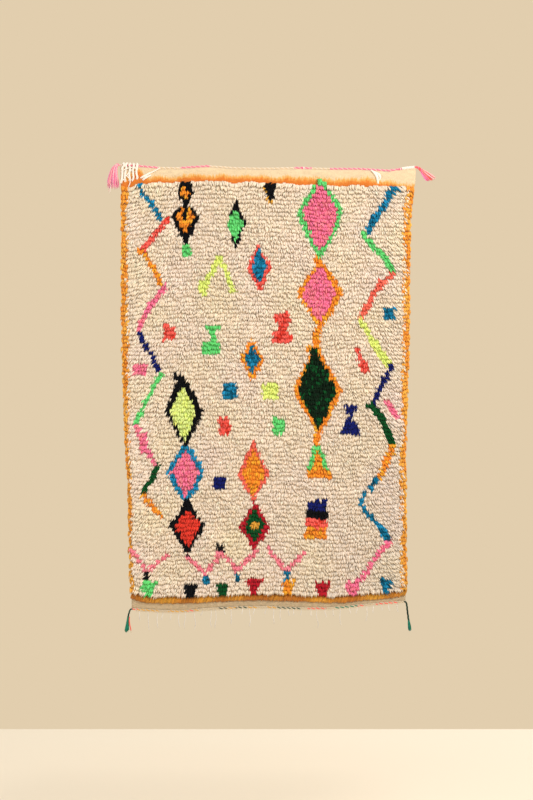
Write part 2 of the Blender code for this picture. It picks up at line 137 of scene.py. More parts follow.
# What the weaver knotted over the plain cream, kind by kind, later ones over earlier ones
rugMotifs = {
    "strokes": [  # yarn, width, points as (x, drop)
        ("teal", 15, [(-422, 46), (-421, 62), (-414, 82), (-399, 99), (-384, 115), (-372, 140), (-350, 165)]),
        ("coral", 18, [(-333, 171), (-373, 220), (-411, 267)]),
        ("orange", 16, [(-426, 267), (-403, 280), (-386, 316), (-366, 349), (-353, 382)]),
        ("pink", 18, [(-338, 389), (-363, 425), (-403, 475), (-426, 531)]),
        ("navy", 15, [(-424, 541), (-409, 574), (-396, 594)]),
        ("navy", 11, [(-396, 594), (-386, 610), (-363, 663)]),
        ("green", 15, [(-353, 676), (-396, 762), (-436, 841)]),
        ("pink", 16, [(-432, 854), (-412, 894)]),
        ("pink", 26, [(-412, 884), (-409, 920)]),
        ("pink", 13, [(-403, 923), (-370, 970)]),
        ("fern", 17, [(-360, 979), (-383, 1026), (-411, 1062)]),
        ("orange", 15, [(-412, 1072), (-383, 1111), (-350, 1148)]),
        ("teal", 22, [(422, 55), (396, 92), (366, 145), (323, 214)]),
        ("green", 18, [(314, 220), (343, 257), (380, 286), (406, 336)]),
        ("peach", 19, [(409, 349), (370, 379), (340, 428), (307, 494)]),
        ("lime", 17, [(305, 501), (337, 557)]),
        ("lime", 25, [(345, 568), (362, 592), (393, 640)]),
        ("navy", 17, [(404, 653), (380, 696), (350, 775)]),
        ("fern", 24, [(337, 781), (370, 818), (409, 904)]),
        ("orange", 20, [(409, 917), (389, 966), (365, 1016)]),
        ("teal", 18, [(356, 1019), (337, 1055)]),
        ("teal", 18, [(320, 1069), (304, 1108)]),
        ("teal", 15, [(314, 1121), (350, 1161), (372, 1188)]),
        ("teal", 25, [(372, 1188), (395, 1221)]),
        ("pink", 17, [(403, 1227), (360, 1273), (323, 1329), (294, 1366)]),
        ("coral", 15, [(287, 593), (307, 633)]),
        ("coral", 31, [(314, 646), (317, 656)]),
        ("pink", 19, [(386, 765), (406, 791), (422, 818)]),
        ("rose", 14, [(-446, 1260), (-399, 1329), (-333, 1276)]),
        ("rose", 15, [(-271, 1276), (-205, 1336), (-155, 1263), (-102, 1323), (-40, 1263)]),
        ("rose", 15, [(0, 1253), (59, 1323), (116, 1270)]),
        ("lime", 17, [(-218, 405), (-188, 349), (-163, 294), (-147, 318), (-134, 349), (-124, 378),
                      (-120, 400), (-106, 409)]),
        ("black", 21, [(-399, 1346), (-399, 1352)]),
    ],
    "blocks": [  # yarn, left, top, right, foot
        ("black", -168, 1238, -145, 1264),
        ("teal", -215, 1343, -195, 1368),
        ("teal", -110, 1332, -92, 1362),
        ("teal", 54, 1328, 73, 1358),
        ("pink", -444, 640, -399, 679),
        ("coral", -344, 518, -302, 566),
        ("lime", -229, 368, -203, 416),
        ("orange", -66, 667, -38, 692),
        ("orange", -76, 580, -33, 598),
        ("teal", -147, 706, -101, 757),
        ("lime", -20, 709, 33, 758),
        ("coral", -163, 819, -122, 876),
        ("green", 13, 821, 58, 875),
        ("navy", -180, 1016, -139, 1062),
        ("teal", 378, 460, 416, 493),
        ("navy", 129, 1093, 195, 1125),
        ("black", 125, 1125, 198, 1156),
        ("coral", 122, 1156, 195, 1186),
        ("orange", 119, 1186, 191, 1222),
        ("green", 162, 36, 186, 62),
        ("orange", 148, 290, 172, 316),
        ("orange", 148, 521, 173, 590),
        ("orange", 152, 874, 172, 917),
        ("orange", 127, 991, 211, 1022),
    ],
    "outlines": [  # yarn, rows of (drop, left, right)
        ("green", [(516, -208, -158), (534, -205, -162), (544, -193, -172), (570, -195, -170),
                   (578, -218, -160), (611, -221, -157)]),
        ("coral", [(476, 20, 74), (504, 23, 73), (514, 33, 63), (531, 33, 63), (544, 18, 76), (574, 13, 79)]),
        ("navy", [(778, 247, 293), (798, 254, 290), (808, 266, 279), (824, 266, 278), (838, 251, 294),
                  (879, 241, 304)]),
        ("gold", [(56, -21, 20), (100, -6, 14), (117, 1, 13)]),
        ("black", [(44, -18, 28), (62, -12, 28), (86, -4, 20), (102, 3, 13)]),
        ("green", [(1362, -422, -366), (1412, -403, -386)]),
        ("black", [(1367, -281, -230), (1415, -264, -244)]),
        ("fern", [(1366, -175, -129), (1408, -162, -142)]),
        ("darkRed", [(1353, -72, -18), (1402, -54, -36)]),
        ("orange", [(1359, 43, 87), (1405, 56, 76)]),
        ("darkRed", [(1362, 148, 206), (1412, 167, 188)]),
        ("pink", [(1362, 252, 306), (1405, 268, 290)]),
        ("teal", [(1352, 363, 412), (1394, 378, 398)]),
        ("green", [(907, 152, 170), (991, 127, 198)]),
        ("orange", [(930, 157, 167), (991, 142, 185)]),
    ],
    "diamonds": [  # yarn, x, drop, half width, height above and below, roundness
        ("green", 172, 141, 74, 96, 152, 1.25),
        ("pink", 172, 141, 58, 82, 132, 1.2),
        ("orange", 172, 409, 74, 109, 119, 1.1),
        ("pink", 168, 409, 56, 89, 99, 1.1),
        ("orange", 163, 732, 81, 150, 148, 1.05, 0.05),
        ("forest", 161, 732, 63, 142, 132, 1.05, 0.05),
        ("black", -277, 798, 63, 124, 119, 1.05, 0.05),
        ("paleLime", -280, 801, 42, 81, 99, 1.1, 0.05),
        ("sea", -271, 999, 61, 92, 105, 1.2),
        ("pink", -272, 999, 46, 73, 84, 1.05),
        ("black", -266, 1177, 61, 86, 99, 0.95),
        ("red", -264, 1177, 42, 56, 74, 1.05),
        ("peach", -48, 1006, 50, 112, 96, 1.0),
        ("orange", -48, 1006, 40, 84, 72, 1.0),
        ("darkRed", -45, 1181, 53, 82, 79, 1.0),
        ("fern", -45, 1177, 33, 64, 58, 1.0),
        ("black", -105, 184, 30, 84, 82, 1.0),
        ("green", -109, 186, 27, 48, 48, 1.2),
        ("coral", -29, 326, 43, 75, 82, 1.0, 0.06),
        ("teal", -29, 323, 25, 58, 58, 1.0, 0.04),
        ("orange", -53, 628, 40, 69, 73, 1.0),
        ("teal", -53, 626, 25, 50, 46, 1.0),
        ("black", -272, 75, 26, 33, 31, 1.8),
        ("black", -272, 158, 50, 46, 96, 1.0),
        ("orange", -272, 158, 31, 40, 56, 1.1),
        ("green", -269, 270, 18, 22, 22, 1.8),
    ],
    "patches": [  # over all the others, given as the blocks are
        ("green", 155, 36, 200, 56),
        ("pink", 160, 57, 187, 70),
        ("black", -280, 1091, -256, 1118),
        ("black", -308, 678, -282, 701),
        ("orange", 128, 583, 176, 609),
        ("forest", 138, 590, 166, 612),
        ("gold", -57, 1162, -30, 1190),
        ("black", -281, 101, -257, 130),
        ("orange", -288, 60, -270, 74),
        ("orange", -288, 74, -257, 87),
        ("orange", -276, 87, -264, 101),
        ("black", -279, 130, -265, 166),
    ],
}


def awayFrom(x, drop, x0, drop0, x1, drop1):
    # How far each place is from the straight line between two others
    runX, runDrop = x1 - x0, drop1 - drop0
    share = np.clip(((x - x0) * runX + (drop - drop0) * runDrop) / (runX ** 2 + runDrop ** 2), 0, 1)
    return np.hypot(x - x0 - share * runX, drop - drop0 - share * runDrop)


def inStroke(x, drop, width, points):
    near = [awayFrom(x, drop, *start, *end) for start, end in zip(points, points[1:])]
    return np.min(near, axis=0) < width / 2


def inBlock(x, drop, left, top, right, foot):
    return (x > left) & (x < right) & (drop > top) & (drop < foot)


def inRows(x, drop, rows):
    drops, lefts, rights = zip(*rows)
    within = (drop >= drops[0]) & (drop <= drops[-1])
    return within & (x >= np.interp(drop, drops, lefts)) & (x <= np.interp(drop, drops, rights))


def inDiamond(x, drop, centreX, centreDrop, half, above, below, roundness, lean=0.0):
    reach = np.where(drop < centreDrop, above, below)
    across = (np.abs(x - centreX - lean * (drop - centreDrop)) / half) ** roundness
    return across + (np.abs(drop - centreDrop) / reach) ** roundness < 1


motifOrder = {
    "strokes": inStroke,
    "outlines": inRows,
    "blocks": inBlock,
    "diamonds": inDiamond,
    "patches": inBlock,
}


def yarnAt(x, drop):
    # The number of the dyed yarn that shows at each place of the pile
    yarn = np.full(np.shape(x), yarnNames.index("cream"))
    for kind, isInside in motifOrder.items():
        for name, *motif in rugMotifs[kind]:
            yarn[isInside(x, drop, *motif)] = yarnNames.index(name)
    return yarn


wandering = {"waves": 6, "paces": (0.7, 1.6), "calm": 2.6}


def drift(x, drop, amount, size, seed):
    # A smooth wandering value, about as large as the amount, that changes over the given size
    pick = np.random.RandomState(seed)
    total = 0
    for _ in range(wandering["waves"]):
        angle, phase = pick.uniform(0, 2 * math.pi, 2)
        pace = 2 * math.pi / (size * pick.uniform(*wandering["paces"]))
        total = total + np.sin((x * math.cos(angle) + drop * math.sin(angle)) * pace + phase)
    return amount * (total / wandering["calm"])


# Shaping by hand


def clearSelection():
    if bpy.context.object and bpy.context.object.mode != "OBJECT":
        bpy.ops.object.mode_set(mode="OBJECT")
    bpy.ops.object.select_all(action="DESELECT")


def pickUp(piece):
    # Selects one piece alone, ready for the next operator
    clearSelection()
    piece.select_set(True)
    bpy.context.view_layer.objects.active = piece


def readValues(items, key, width=1, kind=float):
    # One value, or one row of them, for each point, corner or face
    values = np.zeros(len(items) * width, kind)
    items.foreach_get(key, values)
    return values.reshape(-1, width) if width > 1 else values


def writeValues(items, key, values, kind=np.float32):
    items.foreach_set(key, np.asarray(values, kind).ravel())


def addValues(mesh, name, values, domain="POINT"):
    # Keeps a number for each point or face of a mesh, for its finish to read
    writeValues(mesh.attributes.new(name, "FLOAT", domain).data, "value", values)


def addColours(mesh, colours, domain="POINT"):
    solid = np.ones((len(colours), 4), np.float32)
    solid[:, :3] = colours
    writeValues(mesh.color_attributes.new("yarn", "FLOAT_COLOR", domain).data, "color", solid)


def takeShape(worker):
    # Reads a worked object as points and the corners of its faces, and clears it away
    mesh = worker.data
    shape = {
        "points": readValues(mesh.vertices, "co", 3),
        "corners": readValues(mesh.loops, "vertex_index", kind=np.int32),
        "sizes": readValues(mesh.polygons, "loop_total", kind=np.int32),
    }
    bpy.data.objects.remove(worker)
    bpy.data.meshes.remove(mesh)
    return shape


def workLock(lock):
    # One lock of pile wool, standing from 0 to 1 along Z, drawn ring by ring to a closed tip
    clearSelection()
    bpy.ops.mesh.primitive_circle_add(vertices=lock["sides"], radius=lock["root"], fill_type="NGON")
    bpy.ops.object.mode_set(mode="EDIT")
    bpy.ops.mesh.select_all(action="SELECT")
    for rise, width in lock["rings"]:
        bpy.ops.mesh.extrude_region_move(TRANSFORM_OT_translate={"value": (0, 0, rise)})
        bpy.ops.transform.resize(value=(width, width, 1))
    bpy.ops.mesh.extrude_region_move(TRANSFORM_OT_translate={"value": (0, 0, lock["tip"])})
    bpy.ops.mesh.merge(type="CENTER")
    bpy.ops.mesh.select_all(action="SELECT")
    bpy.ops.mesh.normals_make_consistent(inside=False)
    bpy.ops.object.mode_set(mode="OBJECT")
    return takeShape(bpy.context.object)


def workStrand(sides, cuts):
    # A straight strand of spun yarn from 0 to 1 along Z, cut into short lengths so that it can bend
    clearSelection()
    bpy.ops.mesh.primitive_cylinder_add(vertices=sides, radius=1, depth=1, location=(0, 0, 0))
    worker = bpy.context.object
    for count in cuts:
        bpy.ops.object.mode_set(mode="EDIT")
        bpy.ops.mesh.select_mode(type="EDGE")
        bpy.ops.mesh.select_all(action="DESELECT")
        bpy.ops.object.mode_set(mode="OBJECT")
        points = worker.data.vertices
        for edge in worker.data.edges:
            first, second = (points[index].co for index in edge.vertices)
            edge.select = abs(first.z - second.z) > 1e-6  # an edge that runs along the strand
        bpy.ops.object.mode_set(mode="EDIT")
        bpy.ops.mesh.subdivide(number_cuts=count)
        bpy.ops.object.mode_set(mode="OBJECT")
    shape = takeShape(worker)
    shape["points"][:, 2] += 0.5  # the cylinder was made about its middle
    return shape


plySides = 6
strandShelf = {}


def strand(sides, *cuts):
    # Each kind of strand is worked once and used again
    if (sides, cuts) not in strandShelf:
        strandShelf[sides, cuts] = workStrand(sides, cuts)
    return strandShelf[sides, cuts]


def layAlong(shape, paths, widths, roll=None, lift=(1.0, 0.0, 0.0)):
    # Bends one copy of the shape along each path; widths are given at each stop of the path
    paths = np.asarray(paths, float)
    widths = np.broadcast_to(np.asarray(widths, float), paths.shape[:2])
    count, stops = paths.shape[:2]
    local = shape["points"]
    at = np.clip(local[:, 2], 0, 1) * (stops - 1)
    low = np.minimum(at.astype(int), stops - 2)
    part = (at - low)[None, :, None]

    def between(values):
        return values[:, low] * (1 - part) + values[:, low + 1] * part

    along = between(np.gradient(paths, axis=1))
    along /= np.linalg.norm(along, axis=2, keepdims=True)
    side = np.array(lift) - along * (along @ np.array(lift))[..., None]
    side /= np.linalg.norm(side, axis=2, keepdims=True)
    roll = np.zeros(count) if roll is None else roll
    cosine, sine = np.cos(roll)[:, None], np.sin(roll)[:, None]
    offX = (local[:, 0] * cosine - local[:, 1] * sine)[..., None]
    offY = (local[:, 0] * sine + local[:, 1] * cosine)[..., None]
    points = between(paths) + (side * offX + np.cross(along, side) * offY) * between(widths[..., None])
    each = len(local)
    return {
        "points": points.reshape(-1, 3),
        "corners": (shape["corners"][None, :] + np.arange(count)[:, None] * each).ravel(),
        "sizes": np.tile(shape["sizes"], count),
        "along": np.tile(local[:, 2], count),
        "copy": np.repeat(np.arange(count), each),
    }


def oneDye(bundle, colour):
    bundle["colours"] = np.tile(colour, (len(bundle["points"]), 1))
    return bundle


def gather(bundles):
    # Joins several laid bundles into one
    lifted = []
    start = 0
    for bundle in bundles:
        lifted.append(bundle["corners"] + start)
        start += len(bundle["points"])
    whole = {key: np.concatenate([bundle[key] for bundle in bundles])
             for key in ("points", "sizes", "along", "colours")}
    whole["corners"] = np.concatenate(lifted)
    return whole


def makePiece(name, bundle, finish):
    # Turns a bundle, in millimetres, into a piece at the origin
    mesh = bpy.data.meshes.new(name)
    mesh.vertices.add(len(bundle["points"]))
    writeValues(mesh.vertices, "co", bundle["points"] * mm)
    mesh.loops.add(len(bundle["corners"]))
    writeValues(mesh.loops, "vertex_index", bundle["corners"], np.int32)
    mesh.polygons.add(len(bundle["sizes"]))
    starts = np.concatenate(([0], np.cumsum(bundle["sizes"])[:-1]))
    writeValues(mesh.polygons, "loop_start", starts, np.int32)
    mesh.update(calc_edges=True)
    mesh.shade_smooth()
    addColours(mesh, bundle["colours"])
    for key in ("along", "dyeing"):
        if key in bundle:
            addValues(mesh, key, bundle[key])
    mesh.materials.append(finish)
    piece = bpy.data.objects.new(name, mesh)
    bpy.context.scene.collection.objects.link(piece)
    return piece


dyeLot = {"warmth": 0.25, "darkest": 0.002, "palest": 0.95}


def varied(colours, seed, spread):
    # No two locks take the dye alike: each differs in strength, and a little in warmth
    pick = np.random.RandomState(seed)
    strength = 1 + pick.normal(0, spread, (len(colours), 1))
    warmth = pick.normal(0, spread * dyeLot["warmth"], (len(colours), 1)) * np.array([1.0, 0.0, -1.0])
    return np.clip(colours * (strength + warmth), dyeLot["darkest"], dyeLot["palest"])


# Finishes

grain = {
    "detail": 3.0,
    "broadDetail": 2.0,
    "twist": 0.6,
    "range": (0.3, 0.7),  # the part of the noise that runs from dark to light
    "lockRange": (0.3, 0.72),
    "sheenRoughness": 0.5,
}


def startFinish(name, look):
    finish = bpy.data.materials.new(name)
    finish.use_nodes = True
    tree = finish.node_tree
    shader = tree.nodes["Principled BSDF"]
    shader.inputs["Roughness"].default_value = look["roughness"]
    shader.inputs["Specular IOR Level"].default_value = look["shine"]
    shader.inputs["Sheen Weight"].default_value = look["sheen"]
    shader.inputs["Sheen Roughness"].default_value = grain["sheenRoughness"]
    return finish, tree, shader


def addNode(tree, kind, **settings):
    node = tree.nodes.new("ShaderNode" + kind)
    for key, value in settings.items():
        setattr(node, key, value)
    return node


def feed(tree, socket, value):
    # Fills a socket, from another node or with a number or colour of its own
    if isinstance(value, bpy.types.NodeSocket):
        tree.links.new(value, socket)
    else:
        socket.default_value = value


def attribute(tree, name):
    return addNode(tree, "Attribute", attribute_name=name).outputs


def calc(tree, operation, *values):
    node = addNode(tree, "Math", operation=operation)
    for socket, value in zip(node.inputs, values):
        feed(tree, socket, value)
    return node.outputs["Value"]


def product(tree, amount, *others):
    for other in others:
        amount = calc(tree, "MULTIPLY", amount, other)
    return amount


def ripple(tree, value, pace):
    return calc(tree, "SINE", product(tree, value, pace))


def rescale(tree, value, limits, results):
    # Maps the limits to the results with a soft start and end
    node = addNode(tree, "MapRange", interpolation_type="SMOOTHSTEP")
    feed(tree, node.inputs["Value"], value)
    for socket, number in zip(("From Min", "From Max", "To Min", "To Max"), (*limits, *results)):
        node.inputs[socket].default_value = number
    return node.outputs["Result"]


def shade(tree, colour, amount):
    # Darkens or lightens a colour by a grey amount
    node = addNode(tree, "VectorMath", operation="SCALE")
    feed(tree, node.inputs[0], colour)
    feed(tree, node.inputs["Scale"], amount)
    return node.outputs["Vector"]


def blend(tree, share, first, second):
    node = addNode(tree, "Mix", data_type="RGBA")
    for socket, value in (("Factor", share), ("A", first), ("B", second)):
        feed(tree, node.inputs[socket], value)
    return node.outputs["Result"]


def fibreNoise(tree, scale, detail=grain["detail"]):
    stretch = addNode(tree, "Mapping")
    feed(tree, stretch.inputs["Vector"], addNode(tree, "TexCoord").outputs["Object"])
    feed(tree, stretch.inputs["Scale"], scale)
    noise = addNode(tree, "TexNoise")
    feed(tree, noise.inputs["Vector"], stretch.outputs["Vector"])
    for socket, value in (("Scale", 1.0), ("Detail", detail), ("Distortion", grain["twist"])):
        noise.inputs[socket].default_value = value
    return noise.outputs["Fac"]


def raiseSurface(tree, shader, height, look):
    bump = addNode(tree, "Bump")
    feed(tree, bump.inputs["Height"], height)
    bump.inputs["Strength"].default_value = look["bump"]
    bump.inputs["Distance"].default_value = look["bumpDepth"]
    tree.links.new(bump.outputs["Normal"], shader.inputs["Normal"])


def woolFinish(name, look):
    # Dyed wool: colour from the yarn, fine fibres, and painted shade that darkens the locks towards their
    # roots
    finish, tree, shader = startFinish(name, look)
    fibres = fibreNoise(tree, look["fibre"])
    tone = rescale(tree, fibres, grain["lockRange"], look["tone"])
    patch = rescale(tree, fibreNoise(tree, look["tuft"], grain["broadDetail"]), grain["range"], look["patch"])
    # painted shade: each lock's colour darkens from its tip towards its root
    root = rescale(tree, attribute(tree, "along")["Fac"], (0.0, look["rootShadeReach"]), (look["paintedRootShade"], 1.0))
    colour = shade(tree, attribute(tree, "yarn")["Color"], product(tree, tone, patch))
    feed(tree, shader.inputs["Base Color"], shade(tree, colour, root))
    raiseSurface(tree, shader, fibres, look)
    return finish


# The root settings give the painted shade at each lock's root; the motif locks have the most of it
finishes = {
    "pile": {
        "roughness": 0.92, "shine": 0.12, "sheen": 0.12,
        "fibre": (1500, 1500, 420), "tuft": (120, 120, 90),
        "tone": (0.86, 1.06), "patch": (0.94, 1.04),
        "rootShadeReach": 0.4, "paintedRootShade": 0.9, "bump": 0.4, "bumpDepth": 0.0007,
    },
    "motif": {"sheen": 0.04, "tone": (0.8, 1.1), "rootShadeReach": 0.5, "paintedRootShade": 0.68},
    "plied": {
        "roughness": 0.85, "shine": 0.2, "sheen": 0.2,
        "fibre": (900, 1400, 1400), "tuft": (200, 200, 200),
        "tone": (0.85, 1.08), "patch": (0.92, 1.05),
        "rootShadeReach": 0.01, "paintedRootShade": 0.98, "bump": 0.5, "bumpDepth": 0.0005,
    },
    "tuft": {
        "roughness": 0.85, "shine": 0.2, "sheen": 0.2,
        "fibre": (1500, 1500, 300), "tuft": (200, 200, 120),
        "tone": (0.8, 1.1), "patch": (0.9, 1.06),
        "rootShadeReach": 0.01, "paintedRootShade": 0.98, "bump": 0.5, "bumpDepth": 0.0004,
    },
}
pileWool = woolFinish("pileWool", finishes["pile"])
motifWool = woolFinish("motifWool", {**finishes["pile"], **finishes["motif"]})
pliedWool = woolFinish("pliedWool", finishes["plied"])
tuftWool = woolFinish("tuftWool", finishes["tuft"])

# The knotted pile

pile = {
    "rows": 101,
    "columns": 128,
    "stagger": 0.2,  # of a knot's width, from row to row
    "firstRow": 0.2,  # of a row's height, below the seam
    "rowWander": (1.8, 75, 4),  # hand-knotted rows wander a little: amount, size and seed
    "scatter": (0.7, 1.6),  # of a knot, sideways and down
    "overHeading": [(165, 34), (172, 33), (167, 42), (174, 43), (181, 42), (188, 43)],  # knots above the seam
    "endLift": 5.0,  # the last row stops short, so that its tips only touch the edging
    "lock": {"sides": 3, "root": 0.8, "rings": [(0.34, 1.25), (0.36, 1.0)], "tip": 0.3},
    "lockGap": 2.4,
    "depth": 22.5,
    "rimDepth": 15.0,
    "rimWidth": 22.0,
    "depthWander": (1.6, 70, 21),
    "fall": 18.0,
    "path": [  # root to tip: parts of the sway, gap, depth and fall, then how much further out and down
        (0.0, 0.0, 0.0, 0.0, 4.0, -2.0),
        (0.2, 0.3, 0.72, 0.0, 0.0, -0.5),
        (0.6, 0.3, 1.0, 0.42, -0.4, 0.0),
        (1.0, 0.0, 1.0, 1.0, -1.2, 0.0),
    ],
    "widths": (2.0, 2.85, 2.95, 2.2),
    "uneven": {"sway": 2.6, "fall": 0.16, "depth": 0.8, "tip": 1.1, "width": 0.07, "dye": 0.075, "roll": 1.5},
    "seen": 9.0,  # how far below its root a lock is seen
    "seenLean": 0.45,
    "lean": (5.0, 190, 22),
    "curl": (5.0, 45, 23),
    "splay": 30.0,  # towards the sides the locks lie over like a fan
    "splayWidth": 70.0,
    "uprightWidth": 50.0,  # and less so again beside the border
    "leastSplay": 0.35,
    "leftBorder": [(0, 23), (300, 22), (700, 20), (950, 14), (1400, 15)],  # drop and width
    "rightBorder": [(0, 25), (300, 24), (700, 22), (850, 19), (1400, 20)],
    "borderSplay": 0.12,  # the border's locks hang more than they stand out
    "borderWidth": 1.2,
    "flecks": [  # yarn, the yarn that some of its knots have instead, and how many have it
        ("forest", "fern", 0.25), ("teal", "deepTeal", 0.3), ("teal", "sea", 0.2), ("sea", "teal", 0.3),
        ("paleLime", "lime", 0.3), ("pink", "rose", 0.3), ("coral", "red", 0.2), ("orange", "amber", 0.25),
    ],
}

# How the knots' colours are tinted: the plain yarn is darker and greyer low on the right, as painted shade,
# and yellower in places, and the border turns from orange to gold towards the foot and darkens there, as
# painted shade
tintsAndPaintedShade = {
    "shadeStartsAt": (-100, 500),  # x and drop where it starts, and the way over which it grows
    "shadeGrowsOver": (600, 900),
    "paintedShade": (0.14, 0.12, 0.07),
    "yellow": (0.0, 0.008, -0.035),
    "yellowPatches": (1.0, 260, 31),  # amount, size and seed
    "borderFrom": 400,
    "borderOver": 800,
    "orange": 0.5,
    "orangeLost": 0.3,
    "orangePatches": (0.7, 30, 33),
    "borderPaintedShade": 0.14,
}


def knotPlaces():
    row, number = np.meshgrid(np.arange(pile["rows"]), np.arange(pile["columns"]), indexing="ij")
    stagger = np.where(row.ravel() % 2, pile["stagger"], -pile["stagger"])
    column = (number.ravel() + 0.5 + stagger) / pile["columns"]
    share = (row.ravel() + pile["firstRow"]) / pile["rows"]
    x, drop = placeOn("seam", "edging", share, column)
    drop = drop - pile["endLift"] * share
    pick = np.random.RandomState(3)
    drop = drop + drift(x, drop * 3, *pile["rowWander"])
    x, drop = (at + pick.normal(0, loose, len(at)) for at, loose in zip((x, drop), pile["scatter"]))
    overX, overDrop = zip(*pile["overHeading"])
    return np.append(x, overX), np.append(drop, overDrop)


def borderMask(x, drop):
    left, right = edgesAt(drop)
    leftWidth = np.interp(drop, *zip(*pile["leftBorder"]))
    rightWidth = np.interp(drop, *zip(*pile["rightBorder"]))
    return (x - left < leftWidth) | (right - x < rightWidth)


def leanOf(x, drop):
    # How far sideways the tips of the locks lie over
    left, right = edgesAt(drop)
    towards = np.exp(-(right - x) / pile["splayWidth"]) - np.exp(-(x - left) / pile["splayWidth"])
    upright = np.clip(np.minimum(x - left, right - x) / pile["uprightWidth"], pile["leastSplay"], 1)
    wander = drift(x, drop, *pile["lean"]) + drift(x, drop, *pile["curl"])
    return wander + pile["splay"] * towards * upright


def layPile(lock, x, drop, colours, seed, splay=1.0, broad=1.0):
    # Three locks to a knot, each hanging over the knots of the row below
    pick = np.random.RandomState(seed)
    uneven = pile["uneven"]
    count = len(x)
    left, right = edgesAt(drop)
    rim = np.clip(np.minimum(x - left, right - x) / pile["rimWidth"], 0, 1) ** 0.5
    depth = pile["rimDepth"] + (pile["depth"] - pile["rimDepth"]) * rim
    depth = depth + drift(x, drop, *pile["depthWander"])
    paths = []
    tints = []
    for side in (-1, 0, 1):
        sway = splay * leanOf(x, drop) + (0.5 + 0.5 * splay) * pick.normal(0, uneven["sway"], count)
        fall = pile["fall"] * (1 + pick.normal(0, uneven["fall"], count))
        stand = depth + pick.normal(0, uneven["depth"], count)
        start = x + side * pile["lockGap"]
        stops = []
        for swayPart, gapPart, depthPart, fallPart, out, down in pile["path"]:
            stops.append(np.stack((
                start + side * gapPart + sway * swayPart,
                -(stand * depthPart + out),
                -(drop + fall * fallPart + down),
            ), axis=1))
        stops[-1][:, 1] -= pick.normal(0, uneven["tip"], count)
        paths.append(np.stack(stops, axis=1))
        tints.append(varied(colours, seed + 7 + side, uneven["dye"]))
    paths = np.concatenate(paths)
    widths = broad * np.array(pile["widths"]) * (1 + pick.normal(0, uneven["width"], (len(paths), 1)))
    bundle = layAlong(lock, paths, widths, pick.uniform(0, uneven["roll"], len(paths)))
    bundle["colours"] = np.concatenate(tints)[bundle["copy"]]
    return bundle


def grows(value, start, over):
    # 0 up to a start, then growing to 1 over a given way
    return np.clip((value - start) / over, 0, 1)


def knotColours(x, drop, yarn, border):
    colours = dyeCard[yarn]
    plain = (yarn == 0) & ~border
    # painted shade: the plain yarn darkens and greys towards the lower right
    (shadeStartX, shadeStartDrop), (overX, overDrop) = tintsAndPaintedShade["shadeStartsAt"], tintsAndPaintedShade["shadeGrowsOver"]
    paintedShade = grows(x, shadeStartX, overX) * grows(drop, shadeStartDrop, overDrop)
    warm = drift(x, drop, *tintsAndPaintedShade["yellowPatches"])
    tint = 1 - np.outer(paintedShade, tintsAndPaintedShade["paintedShade"]) + np.outer(warm, tintsAndPaintedShade["yellow"])
    colours[plain] = colours[plain] * tint[plain]
    lower = grows(drop, tintsAndPaintedShade["borderFrom"], tintsAndPaintedShade["borderOver"])[border, None]
    patches = drift(x, drop, *tintsAndPaintedShade["orangePatches"])[border, None]
    mixed = np.clip(tintsAndPaintedShade["orange"] - tintsAndPaintedShade["orangeLost"] * lower + patches, 0, 1)
    colours[border] = yarnDyes["edgeOrange"] * mixed + yarnDyes["edgeGold"] * (1 - mixed)
    # painted shade: the border darkens towards the foot
    colours[border] *= 1 - tintsAndPaintedShade["borderPaintedShade"] * lower
    fleck = np.random.RandomState(34).uniform(0, 1, len(x))
    for name, other, share in pile["flecks"]:
        colours[(yarn == yarnNames.index(name)) & (fleck < share)] = yarnDyes[other]
    return colours


def knotPile():
    lock = workLock(pile["lock"])
    x, drop = knotPlaces()
    yarn = yarnAt(x + leanOf(x, drop) * pile["seenLean"], drop + pile["seen"])
    border = borderMask(x, drop) & (yarn == 0)
    plain = (yarn == 0) & ~border
    colours = knotColours(x, drop, yarn, border)
    upper, lower = np.quantile(drop[plain], (1 / 3, 2 / 3))
    made = []
    for name, chosen, wool, *ways in (  # the ways are a seed, and the splay and width of other locks
        ("pileUpper", plain & (drop < upper), pileWool, 41),
        ("pileMiddle", plain & (drop >= upper) & (drop < lower), pileWool, 42),
        ("pileLower", plain & (drop >= lower), pileWool, 43),
        ("pileMotifs", yarn != 0, motifWool, 51),
        ("pileBorder", border, pileWool, 52, pile["borderSplay"], pile["borderWidth"]),
    ):
        made.append(makePiece(name, layPile(lock, x[chosen], drop[chosen], colours[chosen], *ways), wool))
    return made


pilePieces = knotPile()
print("Pile knotted:", [(piece.name, len(piece.data.polygons)) for piece in pilePieces])

# The woven ground behind the pile, which also shows as the plain cloth end and as the whole back

ground = {
    "columns": 128,
    "edgingRows": 2,
    "clothRows": 4,
    "front": 4.2,
    "clothFront": 3.6,
    "thickness": 3.9,
    "pileFeet": 17.5,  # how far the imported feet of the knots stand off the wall
    "feetRim": 16.0,
    "feetRound": 0.6,
    "skinBetween": 2.0,  # depths that part the front skin from the back, in points and in faces
    "faceBetween": 1.5,
    "seenHigher": 4.0,  # than on the locks, whose tips hang down
    "borderWidth": 11,
    "edgingDye": yarnDyes["rust"],
    "borderDye": yarnDyes["amber"],
    "clothDye": dye(206, 182, 146),
    "dyeVariety": 0.06,
    "look": {
        "roughness": 0.95, "shine": 0.1, "sheen": 0.15, "fibre": (700, 700, 700),
        "tone": (0.82, 1.1), "weaveShade": (0.82, 1.06), "bump": 0.7, "bumpDepth": 0.0012,
        "weftDye": dye(214, 190, 156), "weftsInRow": 5, "warpsInKnot": 2, "knotRim": (0.45, 0.62),
        "knotRelief": 1.4, "weaveRelief": 0.5, "fibreRelief": 0.4,
    },
}


